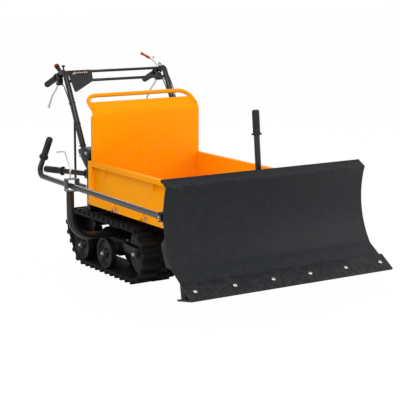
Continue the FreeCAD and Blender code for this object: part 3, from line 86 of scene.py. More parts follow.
# %% Stage
def shader_nodes(material):
    """The node tree of a material, emptied but for its output."""
    material.use_nodes = True
    tree = material.node_tree
    for node in list(tree.nodes):
        if node.type != "OUTPUT_MATERIAL":
            tree.nodes.remove(node)
    return tree, tree.nodes.get("Material Output")


def floor_material():
    material = bpy.data.materials.new("studio_floor")
    tree, output = shader_nodes(material)
    matt = tree.nodes.new("ShaderNodeBsdfDiffuse")
    matt.inputs["Color"].default_value = (0.86, 0.86, 0.86, 1)
    white = tree.nodes.new("ShaderNodeEmission")
    white.inputs["Color"].default_value = (1, 1, 1, 1)
    share = tree.nodes.new("ShaderNodeMath")
    share.operation = "MULTIPLY"
    share.inputs[1].default_value = 0.98
    path = tree.nodes.new("ShaderNodeLightPath")
    mix = tree.nodes.new("ShaderNodeMixShader")
    tree.links.new(path.outputs["Is Camera Ray"], share.inputs[0])
    tree.links.new(share.outputs[0], mix.inputs["Fac"])
    tree.links.new(matt.outputs[0], mix.inputs[1])
    tree.links.new(white.outputs[0], mix.inputs[2])
    tree.links.new(mix.outputs[0], output.inputs["Surface"])
    return material


bpy.ops.object.select_all(action="DESELECT")
bpy.ops.mesh.primitive_plane_add(size=60, location=(0, 0, 0))
floor = bpy.context.active_object
floor.name = "studio_floor"
floor.data.materials.append(floor_material())

world = bpy.data.worlds.new("studio")
bpy.context.scene.world = world
world.use_nodes = True
background = world.node_tree.nodes["Background"]
background.inputs["Color"].default_value = (1, 1, 1, 1)
lift = world.node_tree.nodes.new("ShaderNodeMapRange")
lift.inputs["To Min"].default_value = 0.7
lift.inputs["To Max"].default_value = 1.0
sight = world.node_tree.nodes.new("ShaderNodeLightPath")
world.node_tree.links.new(sight.outputs["Is Camera Ray"], lift.inputs["Value"])
world.node_tree.links.new(lift.outputs["Result"], background.inputs["Strength"])

# name, place, aim, width, height, watts
LAMPS = (
    ("key", (-3.2, -3.6, 4.4), (0, -0.1, 0.3), 2.6, 2.6, 150),
    ("fill", (4.2, -3.4, 2.6), (0, -0.2, 0.4), 2.4, 2.4, 60),
    ("back", (1.2, 4.4, 3.6), (0, 0.2, 0.5), 2.6, 2.0, 90),
)
for name, place, aim, width, height, watts in LAMPS:
    lamp_data = bpy.data.lights.new(name, "AREA")
    lamp_data.shape = "RECTANGLE"
    lamp_data.size = width
    lamp_data.size_y = height
    lamp_data.energy = watts
    lamp = bpy.data.objects.new(name, lamp_data)
    bpy.context.scene.collection.objects.link(lamp)
    lamp.location = place
    lamp.rotation_euler = (Vector(place) - Vector(aim)).to_track_quat("Z", "Y").to_euler()

# %% [markdown]
# ## Surface groups
# Paint, rubber and bare metal all vary in the same few ways: the colour is mottled a little, the gloss is
# uneven, and there is a fine grain. One node group makes these three signals from Object coordinates, and
# every material sets its own scale and strength.

# %% Grain group
def group_socket(group, name, kind, value=None, way="INPUT"):
    socket = group.interface.new_socket(name=name, in_out=way, socket_type=kind)
    if value is not None:
        socket.default_value = value
    return socket


def make_grain_group():
    """Grain: mottles a colour, varies a roughness and gives a height for a bump."""
    group = bpy.data.node_groups.new("Grain", "ShaderNodeTree")
    group_socket(group, "Color", "NodeSocketColor", (0.5, 0.5, 0.5, 1))
    group_socket(group, "Roughness", "NodeSocketFloat", 0.5)
    group_socket(group, "Mottle", "NodeSocketFloat", 0.1)
    group_socket(group, "Gloss change", "NodeSocketFloat", 0.1)
    group_socket(group, "Patch scale", "NodeSocketFloat", 6.0)
    group_socket(group, "Grain scale", "NodeSocketFloat", 400.0)
    group_socket(group, "Color", "NodeSocketColor", way="OUTPUT")
    group_socket(group, "Roughness", "NodeSocketFloat", way="OUTPUT")
    group_socket(group, "Height", "NodeSocketFloat", way="OUTPUT")
    new = group.nodes.new
    link = group.links.new
    given = new("NodeGroupInput")
    result = new("NodeGroupOutput")
    where = new("ShaderNodeTexCoord")
    patches = new("ShaderNodeTexNoise")
    patches.inputs["Detail"].default_value = 4
    link(where.outputs["Object"], patches.inputs["Vector"])
    link(given.outputs["Patch scale"], patches.inputs["Scale"])
    grain = new("ShaderNodeTexNoise")
    grain.inputs["Detail"].default_value = 2
    link(where.outputs["Object"], grain.inputs["Vector"])
    link(given.outputs["Grain scale"], grain.inputs["Scale"])
    spread = new("ShaderNodeMath")
    spread.operation = "MULTIPLY_ADD"
    spread.inputs[1].default_value = 2
    spread.inputs[2].default_value = -1
    link(patches.outputs["Fac"], spread.inputs[0])
    amount = new("ShaderNodeMath")
    amount.operation = "MULTIPLY_ADD"
    amount.inputs[2].default_value = 1
    link(spread.outputs[0], amount.inputs[0])
    link(given.outputs["Mottle"], amount.inputs[1])
    tint = new("ShaderNodeHueSaturation")
    link(given.outputs["Color"], tint.inputs["Color"])
    link(amount.outputs[0], tint.inputs["Value"])
    link(tint.outputs["Color"], result.inputs["Color"])
    gloss = new("ShaderNodeMath")
    gloss.operation = "MULTIPLY_ADD"
    link(spread.outputs[0], gloss.inputs[0])
    link(given.outputs["Gloss change"], gloss.inputs[1])
    link(given.outputs["Roughness"], gloss.inputs[2])
    link(gloss.outputs[0], result.inputs["Roughness"])
    link(grain.outputs["Fac"], result.inputs["Height"])
    return group


grain_group = make_grain_group()


def make_wear_group():
    """Wear: a mask that is bright on convex edges, broken up by noise."""
    group = bpy.data.node_groups.new("Wear", "ShaderNodeTree")
    group_socket(group, "Reach", "NodeSocketFloat", 0.5)
    group_socket(group, "Break up", "NodeSocketFloat", 40.0)
    group_socket(group, "Mask", "NodeSocketFloat", way="OUTPUT")
    new = group.nodes.new
    link = group.links.new
    given = new("NodeGroupInput")
    result = new("NodeGroupOutput")
    shape = new("ShaderNodeNewGeometry")
    edge = new("ShaderNodeMapRange")
    edge.inputs["From Min"].default_value = 0.52
    edge.inputs["From Max"].default_value = 0.62
    link(shape.outputs["Pointiness"], edge.inputs["Value"])
    where = new("ShaderNodeTexCoord")
    noise = new("ShaderNodeTexNoise")
    noise.inputs["Detail"].default_value = 5
    link(where.outputs["Object"], noise.inputs["Vector"])
    link(given.outputs["Break up"], noise.inputs["Scale"])
    patch = new("ShaderNodeMapRange")
    patch.inputs["From Min"].default_value = 0.45
    patch.inputs["From Max"].default_value = 0.6
    link(noise.outputs["Fac"], patch.inputs["Value"])
    both = new("ShaderNodeMath")
    both.operation = "MULTIPLY"
    link(edge.outputs[0], both.inputs[0])
    link(patch.outputs[0], both.inputs[1])
    scaled = new("ShaderNodeMath")
    scaled.operation = "MULTIPLY"
    link(both.outputs[0], scaled.inputs[0])
    link(given.outputs["Reach"], scaled.inputs[1])
    link(scaled.outputs[0], result.inputs["Mask"])
    return group


wear_group = make_wear_group()

# %% [markdown]
# ## Finishes
# One short table holds the finishes: colour, roughness, metal, shine, and how strong the mottle, the
# grain and the worn edges are. A table keeps the finishes side by side, so that two blacks that should
# differ can be seen to differ.

# %% Finish table
# slot: colour, roughness, metallic, shine, mottle, gloss change, grain scale, bump mm, wear, wear colour
FINISHES = {
    "bed_paint": ((0.95, 0.345, 0.0), 0.5, 0, 0.05, 0.03, 0.04, 900, 0.03, 0.12, (0.9, 0.38, 0.1)),
    "blade_paint": ((0.011, 0.012, 0.0142), 0.55, 0, 0.22, 0.10, 0.05, 1400, 0.05, 0.25, (0.09, 0.09, 0.09)),
    "frame_paint": ((0.006, 0.006, 0.0065), 0.42, 0, 0.3, 0.15, 0.08, 900, 0.05, 0.3, (0.07, 0.07, 0.07)),
    "tube_paint": ((0.007, 0.007, 0.008), 0.28, 0, 0.48, 0.10, 0.05, 900, 0.02, 0.2, (0.07, 0.07, 0.07)),
    "engine_paint": ((0.010, 0.010, 0.011), 0.38, 0, 0.42, 0.12, 0.07, 700, 0.05, 0.2, (0.06, 0.06, 0.06)),
    "console_paint": ((0.022, 0.0235, 0.027), 0.45, 0, 0.3, 0.10, 0.05, 1600, 0.04, 0.1, (0.10, 0.10, 0.10)),
    "rubber": ((0.005, 0.005, 0.0055), 0.68, 0, 0.2, 0.25, 0.10, 500, 0.15, 0.3, (0.04, 0.039, 0.037)),
    "grip": ((0.009, 0.009, 0.010), 0.6, 0, 0.35, 0.15, 0.06, 900, 0.08, 0.0, (0.05, 0.05, 0.05)),
    "plastic": ((0.008, 0.008, 0.008), 0.5, 0, 0.3, 0.10, 0.05, 1500, 0.06, 0.0, (0.05, 0.05, 0.05)),
    "red": ((0.50, 0.012, 0.012), 0.3, 0, 0.5, 0.05, 0.03, 900, 0.01, 0.0, (0.5, 0.1, 0.1)),
    "zinc": ((0.60, 0.60, 0.58), 0.32, 1, 0.5, 0.10, 0.10, 300, 0.03, 0.0, (0.7, 0.7, 0.7)),
    "cast": ((0.36, 0.36, 0.37), 0.48, 1, 0.5, 0.12, 0.10, 260, 0.25, 0.0, (0.6, 0.6, 0.6)),
}


def make_finish(name):
    colour, rough, metal, shine, mottle, gloss, grain, bump_mm, wear, worn = FINISHES[name]
    material = bpy.data.materials.new(name)
    tree, output = shader_nodes(material)
    new = tree.nodes.new
    link = tree.links.new
    shader = new("ShaderNodeBsdfPrincipled")
    shader.inputs["Metallic"].default_value = metal
    shader.inputs["Specular IOR Level"].default_value = shine
    surface = new("ShaderNodeGroup")
    surface.node_tree = grain_group
    surface.inputs["Color"].default_value = (*colour, 1)
    surface.inputs["Roughness"].default_value = rough
    surface.inputs["Mottle"].default_value = mottle
    surface.inputs["Gloss change"].default_value = gloss
    surface.inputs["Grain scale"].default_value = grain
    bump = new("ShaderNodeBump")
    bump.inputs["Distance"].default_value = bump_mm / 1000
    link(surface.outputs["Height"], bump.inputs["Height"])
    link(bump.outputs["Normal"], shader.inputs["Normal"])
    link(surface.outputs["Roughness"], shader.inputs["Roughness"])
    if wear:
        edges = new("ShaderNodeGroup")
        edges.node_tree = wear_group
        edges.inputs["Reach"].default_value = wear
        mix = new("ShaderNodeMix")
        mix.data_type = "RGBA"
        mix.inputs["B"].default_value = (*worn, 1)
        link(edges.outputs["Mask"], mix.inputs["Factor"])
        link(surface.outputs["Color"], mix.inputs["A"])
        link(mix.outputs["Result"], shader.inputs["Base Color"])
    else:
        link(surface.outputs["Color"], shader.inputs["Base Color"])
    link(shader.outputs[0], output.inputs["Surface"])
    return material


finishes = {name: make_finish(name) for name in FINISHES}
print("finishes:", ", ".join(finishes))

# %% [markdown]
# ## Bodies, slots and helpers
# Each node of the frame belongs to a moving body and has a material slot in its record. A new piece copies
# both from the node that it stands for, so it moves and is finished as that node is.

# %% Look up bodies and slots
record = frame["record"]
body_of = {}
for body, members in record["behaviour"]["bodies"].items():
    for member in members:
        body_of[member] = body
slot_of = {part["node"]: part["material_slot"] for part in record["subparts"]}


def paint(piece, slot):
    """Gives a piece one finish."""
    piece.data.materials.clear()
    piece.data.materials.append(finishes[slot])
    return piece


def settle(piece, node, slot=None, hide=()):
    """Finishes a piece that goes with a node: its body, its slot and the nodes that it stands for."""
    paint(piece, slot or slot_of[node])
    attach(piece, body_of[node])
    if hide:
        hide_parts(*hide)
    return piece


def deselect():
    bpy.ops.object.select_all(action="DESELECT")


def activate(piece):
    deselect()
    piece.select_set(True)
    bpy.context.view_layer.objects.active = piece
    return piece


def finish_modifiers(piece):
    activate(piece)
    for modifier in list(piece.modifiers):
        bpy.ops.object.modifier_apply(modifier=modifier.name)
    return piece

# %% [markdown]
# ## Working helpers
# Most small parts of a machine are turned, bent or cut from block. Three helpers cover these: one draws a
# half outline and spins it, one sweeps a round section along a smooth line, and one starts from a block.
# Bolts are modelled once and copied, each copy with its own mesh, then joined by machine part.

# %% Helpers for turned, swept and block pieces
def mm(x, y, z):
    """A point given in millimetres, in metres."""
    return Vector((x, y, z)) / 1000


def rest_in_mesh(piece):
    """Puts a piece's place into its mesh, so that its object sits at the origin."""
    activate(piece)
    bpy.ops.object.transform_apply(location=True, rotation=True, scale=True)
    return piece


def soften(piece, width=0.001, segments=2, angle=30):
    bevel = piece.modifiers.new("edges", "BEVEL")
    bevel.width = width
    bevel.segments = segments
    bevel.limit_method = "ANGLE"
    bevel.angle_limit = math.radians(angle)
    finish_modifiers(piece)
    bpy.ops.object.shade_smooth_by_angle(angle=math.radians(38))
    return piece


def pick_faces(piece, test):
    """In edit mode, selects the faces whose middle and normal pass a test."""
    bpy.ops.mesh.select_mode(type="FACE")
    bpy.ops.mesh.select_all(action="DESELECT")
    mesh = bmesh.from_edit_mesh(piece.data)
    for face in mesh.faces:
        face.select_set(bool(test(face.calc_center_median(), face.normal)))
    bmesh.update_edit_mesh(piece.data)


def block(name, low, high):
    """A block between two corners, as a start for a cut or folded piece."""
    low = mm(*low)
    high = mm(*high)
    deselect()
    bpy.ops.mesh.primitive_cube_add(size=1, location=(low + high) / 2, scale=high - low)
    piece = bpy.context.active_object
    piece.name = name
    return rest_in_mesh(piece)


def turned(name, profile, at=(0, 0, 0), along=(0, 0, 1), steps=28):
    """Spins an outline of (radius, height) points in millimetres, and sets it at a point along a line."""
    deselect()
    bpy.ops.mesh.primitive_plane_add(size=0.001)
    piece = bpy.context.active_object
    piece.name = name
    bpy.ops.object.mode_set(mode="EDIT")
    bpy.ops.mesh.select_mode(type="VERT")
    bpy.ops.mesh.select_all(action="SELECT")
    bpy.ops.mesh.merge(type="CENTER")
    here = mm(profile[0][0], 0, profile[0][1])
    bpy.ops.transform.translate(value=here)
    for radius, height in profile[1:]:
        there = mm(radius, 0, height)
        bpy.ops.mesh.extrude_region_move(TRANSFORM_OT_translate={"value": there - here})
        here = there
    bpy.ops.mesh.select_all(action="SELECT")
    bpy.ops.mesh.spin(steps=steps, angle=2 * math.pi, center=(0, 0, 0), axis=(0, 0, 1), use_auto_merge=True)
    bpy.ops.mesh.select_all(action="SELECT")
    bpy.ops.mesh.remove_doubles(threshold=0.000002)
    bpy.ops.mesh.normals_make_consistent(inside=False)
    bpy.ops.object.mode_set(mode="OBJECT")
    turn = Vector(along).to_track_quat("Z", "Y").to_matrix().to_4x4()
    piece.matrix_world = Matrix.Translation(mm(*at)) @ turn
    rest_in_mesh(piece)
    bpy.ops.object.shade_smooth_by_angle(angle=math.radians(32))
    return piece


def swept(name, points, radius, rounds=3, closed=False):
    """A round bar or cable along a smooth line through points in millimetres."""
    curve = bpy.data.curves.new(name, "CURVE")
    curve.dimensions = "3D"
    curve.resolution_u = 8
    curve.bevel_depth = radius / 1000
    curve.bevel_resolution = rounds
    curve.use_fill_caps = True
    spline = curve.splines.new("NURBS")
    spline.points.add(len(points) - 1)
    for knot, point in zip(spline.points, points):
        knot.co = (*mm(*point), 1)
    spline.use_cyclic_u = closed
    spline.use_endpoint_u = not closed
    spline.order_u = 3
    piece = bpy.data.objects.new(name, curve)
    bpy.context.scene.collection.objects.link(piece)
    activate(piece)
    bpy.ops.object.convert(target="MESH")
    piece = bpy.context.active_object
    piece.name = name
    bpy.ops.object.shade_smooth()
    return piece


def joined(name, parts):
    deselect()
    for part in parts:
        part.select_set(True)
    bpy.context.view_layer.objects.active = parts[0]
    if len(parts) > 1:
        bpy.ops.object.join()
    piece = bpy.context.active_object
    piece.name = name
    return rest_in_mesh(piece)


def copies(pattern, name, places):
    """Sets copies of a pattern at (point, direction, size) rows and joins them to one piece."""
    made = []
    for point, way, grow in places:
        one = pattern.copy()
        one.data = pattern.data.copy()
        bpy.context.scene.collection.objects.link(one)
        turn = Vector(way).to_track_quat("Z", "Y").to_matrix().to_4x4()
        one.matrix_world = Matrix.Translation(mm(*point)) @ turn @ Matrix.Scale(grow, 4)
        made.append(one)
    bpy.context.view_layer.update()
    return joined(name, made)

# %% [markdown]
# ## Fastener patterns
# A hexagon bolt is a turned washer under a six-sided head whose corners are chamfered. A carriage bolt has
# a low dome, and a hub cap is a stepped disc. They are drawn pointing up at the origin, at the size of an
# 8 mm bolt, and every use says how large it is beside that.

# %% Bolt, dome and hub cap patterns
def hexagon_bolt():
    washer = turned("washer", ((0, 0), (8.4, 0), (8.4, 1.2), (8.0, 1.6), (0, 1.6)), steps=20)
    deselect()
    bpy.ops.mesh.primitive_cylinder_add(vertices=6, radius=0.0075, depth=0.0056, location=(0, 0, 0.0042))
    head = rest_in_mesh(bpy.context.active_object)
    bpy.ops.object.mode_set(mode="EDIT")
    pick_faces(head, lambda middle, normal: normal.z > 0.9)
    bpy.ops.mesh.inset(thickness=0.0011, depth=0.0007)
    bpy.ops.mesh.inset(thickness=0.0016, depth=-0.0004)
    bpy.ops.object.mode_set(mode="OBJECT")
    soften(head, 0.0003, 1)
    return joined("hexagon_bolt", [washer, head])


bolt = hexagon_bolt()
dome = turned(
    "dome", ((0, 0), (9.5, 0), (9.5, 0.8), (8.6, 2.2), (6.2, 3.6), (3.2, 4.3), (0, 4.5)), steps=20,
)
hub_cap = turned(
    "hub_cap",
    ((0, 0), (20, 0), (20, 5), (18.5, 8), (13, 9), (12, 12), (9, 13.5), (0, 13.5)), steps=28,
)
patterns = [bolt, dome, hub_cap]

# %% [markdown]
# ## Rubber tracks
# A rubber track is one moulded band with a bar across it at every pitch. The bars are split in the middle
# so that mud can leave. The band of the frame is copied and cut by four planes along its middle, and the
# strip between them is pressed down to the band on every bar. The bar tips are found as the points on the
# outline's outer hull, so nothing about the pitch has to be typed. A flat web plate then closes the inside
# of each track above its beam.

# %% Split track bars
def outer_hull(points):
    """The corners of the smallest convex outline round flat points, in order."""
    points = sorted(set(points))

    def half(row):
        chain = []
        for point in row:
            while len(chain) > 1:
                ahead = (chain[-1][0] - chain[-2][0], chain[-1][1] - chain[-2][1])
                new = (point[0] - chain[-2][0], point[1] - chain[-2][1])
                if ahead[0] * new[1] - ahead[1] * new[0] > 0:
                    break
                chain.pop()
            chain.append(point)
        return chain[:-1]

    return half(points) + half(points[::-1])


def hull_depth(hull, point):
    """How far a point is inside a hull, and the direction out of its nearest side."""
    best = (1e9, None)
    for start, end in zip(hull, hull[1:] + hull[:1]):
        way = Vector((end[0] - start[0], end[1] - start[1]))
        if way.length < 1e-6:
            continue
        out = Vector((way.y, -way.x)).normalized()
        depth = (Vector(start) - Vector(point)).dot(out)
        if depth < best[0]:
            best = (depth, out)
    return best


GROOVE_HALF = 0.0075
GROOVE_DEPTH = 0.016
TIP_BAND = 0.002


def split_track(name):
    node = "rubber_track_" + name
    source = nodes[node]
    piece = bpy.data.objects.new("tread_" + name, source.data.copy())
    bpy.context.scene.collection.objects.link(piece)
    activate(piece)
    middle = (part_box(node)[0].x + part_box(node)[1].x) / 2
    bpy.ops.object.mode_set(mode="EDIT")
    bpy.ops.mesh.select_all(action="SELECT")
    bpy.ops.mesh.remove_doubles(threshold=0.00001)
    bpy.ops.mesh.dissolve_limited(angle_limit=math.radians(1.5))
    for offset in (-0.009, -0.0065, 0.0065, 0.009):
        bpy.ops.mesh.select_all(action="SELECT")
        bpy.ops.mesh.bisect(plane_co=(middle + offset, 0, 0), plane_no=(1, 0, 0))
    mesh = bmesh.from_edit_mesh(piece.data)
    hull = outer_hull([(round(v.co.y, 5), round(v.co.z, 5)) for v in mesh.verts])
    pressed = 0
    for vert in mesh.verts:
        if abs(vert.co.x - middle) < GROOVE_HALF:
            depth, out = hull_depth(hull, (vert.co.y, vert.co.z))
            if depth < TIP_BAND:
                vert.co.y -= out.x * GROOVE_DEPTH
                vert.co.z -= out.y * GROOVE_DEPTH
                pressed += 1
    bmesh.update_edit_mesh(piece.data)
    bpy.ops.object.mode_set(mode="OBJECT")
    soften(piece, 0.0022, 2, 28)
    print(piece.name, "points pressed down:", pressed)
    return settle(piece, node, hide=[node])


for name in ("right", "left"):
    split_track(name)

# %% Web plates inside the tracks
for name, side in (("right", -1), ("left", 1)):
    plates = []
    for front, rear in ((80, 182), (242, 430)):
        plates.append(block("web", (side * 195 - 2, front, 150), (side * 195 + 2, rear, 236)))
    web = joined("track_web_" + name, plates)
    soften(web, 0.001, 2)
    settle(web, "track_frame_" + name)

# %% [markdown]
# ## Rollers and idler
# The road rollers are pressed steel discs on a fat hub. The frame's own discs already have the dish, so they
# only get soft edges. What they lack is the hub cap with its bolt, which sits on the axle's end and catches
# a point of light inside the dark track. It is one turned cap, copied to every axle end.

# %% Hub caps and axle bolts
AXLES = ((232, 102, 331), (470, 102, 331), (-30, 142, 303))
for name, side in (("right", -1), ("left", 1)):
    rows = []
    for y, z, end_x in AXLES:
        rows.append(((side * (end_x - 1), y, z), (side, 0, 0), 1.0))
    caps = copies(hub_cap, "hub_caps_" + name, rows)
    settle(caps, "track_frame_" + name)
    rows = [((side * (x + 12), y, z), (side, 0, 0), 1.1) for y, z, x in AXLES]
    rows += [((side * 244, y, 169.6), (0, 0, 1), 0.9) for y in (150, 300, 400)]
    settle(copies(bolt, "axle_bolts_" + name, rows), "track_frame_" + name, "zinc")
print("hub caps and axle bolts on both tracks")

# %% [markdown]
# ## Plough blade
# The cutting strip is bolted to the blade's toe so that it can be changed. Six low domed bolts show on its
# front. They stand square to the strip, which leans with the raised plough, so their direction is the
# strip's own normal. Behind the blade each bolt has a nut, and every rib is held by a run of weld, made
# here as a thin swept bead that is a little uneven.

# %% Strip bolts and nuts
STRIP_MIDDLE = (-874.2, 168.6)
STRIP_OUT = (0, -0.5566, 0.8308)
BOLT_XS = (-507, -304, -101, 102, 305, 508)
front_rows = [((x, *STRIP_MIDDLE), STRIP_OUT, 1.05) for x in BOLT_XS]
settle(copies(dome, "strip_bolts", front_rows), "cutting_strip", "zinc")
back_out = (0, 0.5566, -0.8308)
back_at = (STRIP_MIDDLE[0] + 0.5566 * 14, STRIP_MIDDLE[1] - 0.8308 * 14)
back_rows = [((x, *back_at), back_out, 0.95) for x in BOLT_XS]
settle(copies(bolt, "strip_nuts", back_rows), "moldboard", "zinc")


def raised(y, z):
    """A point drawn with the plough on the ground, turned up with it by ten degrees about its hinge."""
    turn = math.radians(-10)
    over = y + 175
    up = z - 110
    return (
        over * math.cos(turn) - up * math.sin(turn) - 175,
        over * math.sin(turn) + up * math.cos(turn) + 110,
    )


def blade_back(z, proud=0.0):
    """A point on the back of the moldboard's curve, at a height with the plough on the ground."""
    radius = 395 + proud
    return -1122 + math.sqrt(radius * radius - (z - 300) * (z - 300))


beads = []
for rib_x, low, high in ((-545.5, 145, 270), (-220, 155, 465), (-70, 155, 465), (64, 155, 465),
                         (214, 155, 465), (539.5, 145, 270)):
    for x in (rib_x - 1.2, rib_x + 7.2):
        if abs(x) > 546:
            continue
        line = []
        for step in range(9):
            z = low + (high - low) * step / 8
            line.append((x, *raised(blade_back(z, 1.0 + 0.5 * (step % 2)), z)))
        beads.append(swept("weld", line, 2.4, 2))
settle(joined("rib_welds", beads), "moldboard")
print("blade: 6 strip bolts, 6 nuts,", len(beads), "weld runs")

# %% [markdown]
# ## Rubber hand grips and lever grips
# A hand grip is a turned rubber sleeve with a collar at its foot, shallow ribs for the fingers and a
# rounded end. The two grips replace the plain ones of the frame. The long levers carry smooth sleeves of
# the same rubber with a thin collar, set over the grip of the frame.

# %% Ribbed grips
def ribbed_outline(length, radius, ribs):
    """Half outline of a grip: collar, ribs, rounded end."""
    outline = [(radius - 6, -1), (radius + 4.5, -1), (radius + 5, 1), (radius + 5, 4), (radius + 4, 5.5)]
    outline += [(radius + 0.4, 7)]
    start = 14
    pitch = (length - 30) / ribs
    for rib in range(ribs):
        low = start + rib * pitch
        outline += [
            (radius - 0.7, low), (radius + 0.4, low + pitch * 0.25),
            (radius + 0.4, low + pitch * 0.75), (radius - 0.7, low + pitch),
        ]
    outline += [(radius + 0.4, length - 12), (radius + 0.3, length - 5), (radius - 3, length - 1)]
    outline += [(radius - 7, length), (0, length)]
    return outline


grip_way = (0, 0.9277, -0.3734)
grips = [
    turned("grip", ribbed_outline(134.5, 16, 11), (side * 301, 785, 937), grip_way, 28) for side in (-1, 1)
]
settle(joined("ribbed_hand_grips", grips), "hand_grips", hide=["hand_grips"])


def sleeve_outline(length, radius):
    """Half outline of a smooth lever sleeve with two collars and a rounded end."""
    return [
        (radius - 2, -1.5), (radius + 6.8, -1.5), (radius + 7.2, 1), (radius + 7.2, 5), (radius + 6.4, 6.4),
        (radius + 1.1, 8), (radius + 0.8, 12), (radius + 0.8, 22), (radius + 0.2, 23), (radius + 0.2, 26),
        (radius + 0.8, 27), (radius + 0.8, length - 8), (radius - 0.6, length - 2.5),
        (radius - 4, length + 0.6),
        (0, length + 0.8),
    ]


def lever_sleeve(name, node, foot, end, length):
    way = Vector(end) - Vector(foot)
    way.normalize()
    at = Vector(foot) + way * 3
    piece = turned(name, sleeve_outline(length - 3, 16), tuple(at), tuple(way), 32)
    return settle(piece, node, "grip")


lift_start = (0, *raised(-692, 510))
lift_top = (0, *raised(-705, 680))
lift_way = Vector(lift_top) - Vector(lift_start)
lever_sleeve("angle_rod_sleeve", "angle_rod", (-530, 497, 565), (-530, 429, 661), 130)
lever_sleeve("lift_lever_sleeve", "lift_lever", lift_top, tuple(Vector(lift_top) + lift_way), 115)
lever_sleeve("hand_lever_sleeve", "hand_lever", (-391, 553, 478), (-456, 670, 481), 115)
print("grips: 2 ribbed, 3 lever sleeves")

# %% [markdown]
# ## Console
# The console is a dark folded shield between the crossbars. On it is a narrow strip with plain signs for
# the speed lever, slow to fast. They are made generic: a wedge that grows, three dots and two arrow heads,
# thin plates that stand less than half a millimetre proud. Its top edge carries a thin orange line.

# %% Console strip, signs and edge line
CONSOLE_SLOPE = math.radians(50.6)
CONSOLE_DOWN = Vector((0, -math.cos(CONSOLE_SLOPE), -math.sin(CONSOLE_SLOPE)))
CONSOLE_OUT = Vector((0, -math.sin(CONSOLE_SLOPE), math.cos(CONSOLE_SLOPE)))
CONSOLE_TOP = Vector((0, 727, 965))
CONSOLE_FACE = 27.95


def on_console(x, along, proud=0.0):
    """A point on the console's face: across, down the slope and out from it, in millimetres."""
    point = CONSOLE_TOP + CONSOLE_DOWN * along + CONSOLE_OUT * (CONSOLE_FACE + proud)
    return (x, point.y, point.z)


def console_plate_piece(name, outline, proud, thick):
    """A thin flat piece on the console: a filled outline, thickened away from the face."""
    mesh = bpy.data.meshes.new(name)
    points = [mm(*on_console(x, along, proud)) for x, along in outline]
    mesh.from_pydata(points, [], [list(range(len(points)))])
    piece = bpy.data.objects.new(name, mesh)
    bpy.context.scene.collection.objects.link(piece)
    activate(piece)
    bpy.ops.object.mode_set(mode="EDIT")
    bpy.ops.mesh.select_all(action="SELECT")
    step = CONSOLE_OUT * (thick / 1000)
    bpy.ops.mesh.extrude_region_move(TRANSFORM_OT_translate={"value": step})
    bpy.ops.mesh.select_all(action="SELECT")
    bpy.ops.mesh.normals_make_consistent(inside=False)
    bpy.ops.object.mode_set(mode="OBJECT")
    return piece


band = console_plate_piece("console_band", ((-276, 13), (-172, 13), (-167, 37), (-276, 37)), 0, 1.2)
soften(band, 0.0004, 1)
settle(band, "console_plate", "plastic")
signs = [
    console_plate_piece("sign", ((-269, 33), (-243, 16), (-243, 34)), 1.2, 0.4),
    console_plate_piece("sign", ((-182, 17), (-182, 33), (-171, 25)), 1.2, 0.4),
    console_plate_piece("sign", ((-194, 17), (-194, 33), (-183, 25)), 1.2, 0.4),
    console_plate_piece("sign", ((-240, 23), (-197, 23), (-197, 27), (-240, 27)), 1.2, 0.3),
]
dot = ((0, 0), (4.6, 0), (4.6, 0.5), (0, 0.5))
for x in (-231, -218.5, -206):
    signs.append(turned("sign", dot, on_console(x, 25, 1.2), CONSOLE_OUT, 16))
settle(joined("console_signs", signs), "console_plate", "zinc")
edge = console_plate_piece("edge", ((-283, 7.4), (-150, 7.4), (-150, 9.6), (-283, 9.6)), -0.4, 1.0)
edge.name = "console_edge_line"
settle(edge, "console_plate", "bed_paint")
print("console:", len(signs), "signs and an edge line")

# %% [markdown]
# ## Switch, throttle and clutch levers
# Small controls are mostly turned knobs on clamps. The stop switch is a black stalk with a collar and a
# mushroom of red plastic. The throttle is a bright shaft with a red handle on the left tube. Each clutch
# lever hangs from a cast perch round the tube. The perches are cut from block and deeply rounded.

# %% Stop switch and throttle
SWITCH_WAY = (0, 0.82, 0.575)
SWITCH_FOOT = (-301, 744, 964)
stalk = turned(
    "stop_switch_stalk",
    ((0, -4), (11, -4), (12.5, -1), (12.5, 3), (10, 6), (9, 8), (9, 22), (11, 24), (11, 30), (9, 32),
     (9, 41), (13, 43), (13, 46), (0, 46)),
    SWITCH_FOOT, SWITCH_WAY,
)
knob = turned(
    "knob",
    ((0, 0), (6, 0), (4, 4), (4, 9), (8.5, 12), (9.5, 16), (7, 20), (0, 21.5)),
    (-301, 712, 984), (0, 0, 1),
)
settle(joined("stop_switch_stalk", [stalk, knob]), "stop_switch", "plastic", hide=["stop_switch"])
cap = turned(
    "stop_switch_cap",
    ((0, 45.5), (8, 45.5), (8, 49), (13, 50.5), (14, 53), (14, 58), (12.5, 60.5), (8, 61.5), (0, 62)),
    SWITCH_FOOT, SWITCH_WAY,
)
settle(cap, "stop_switch", "red")

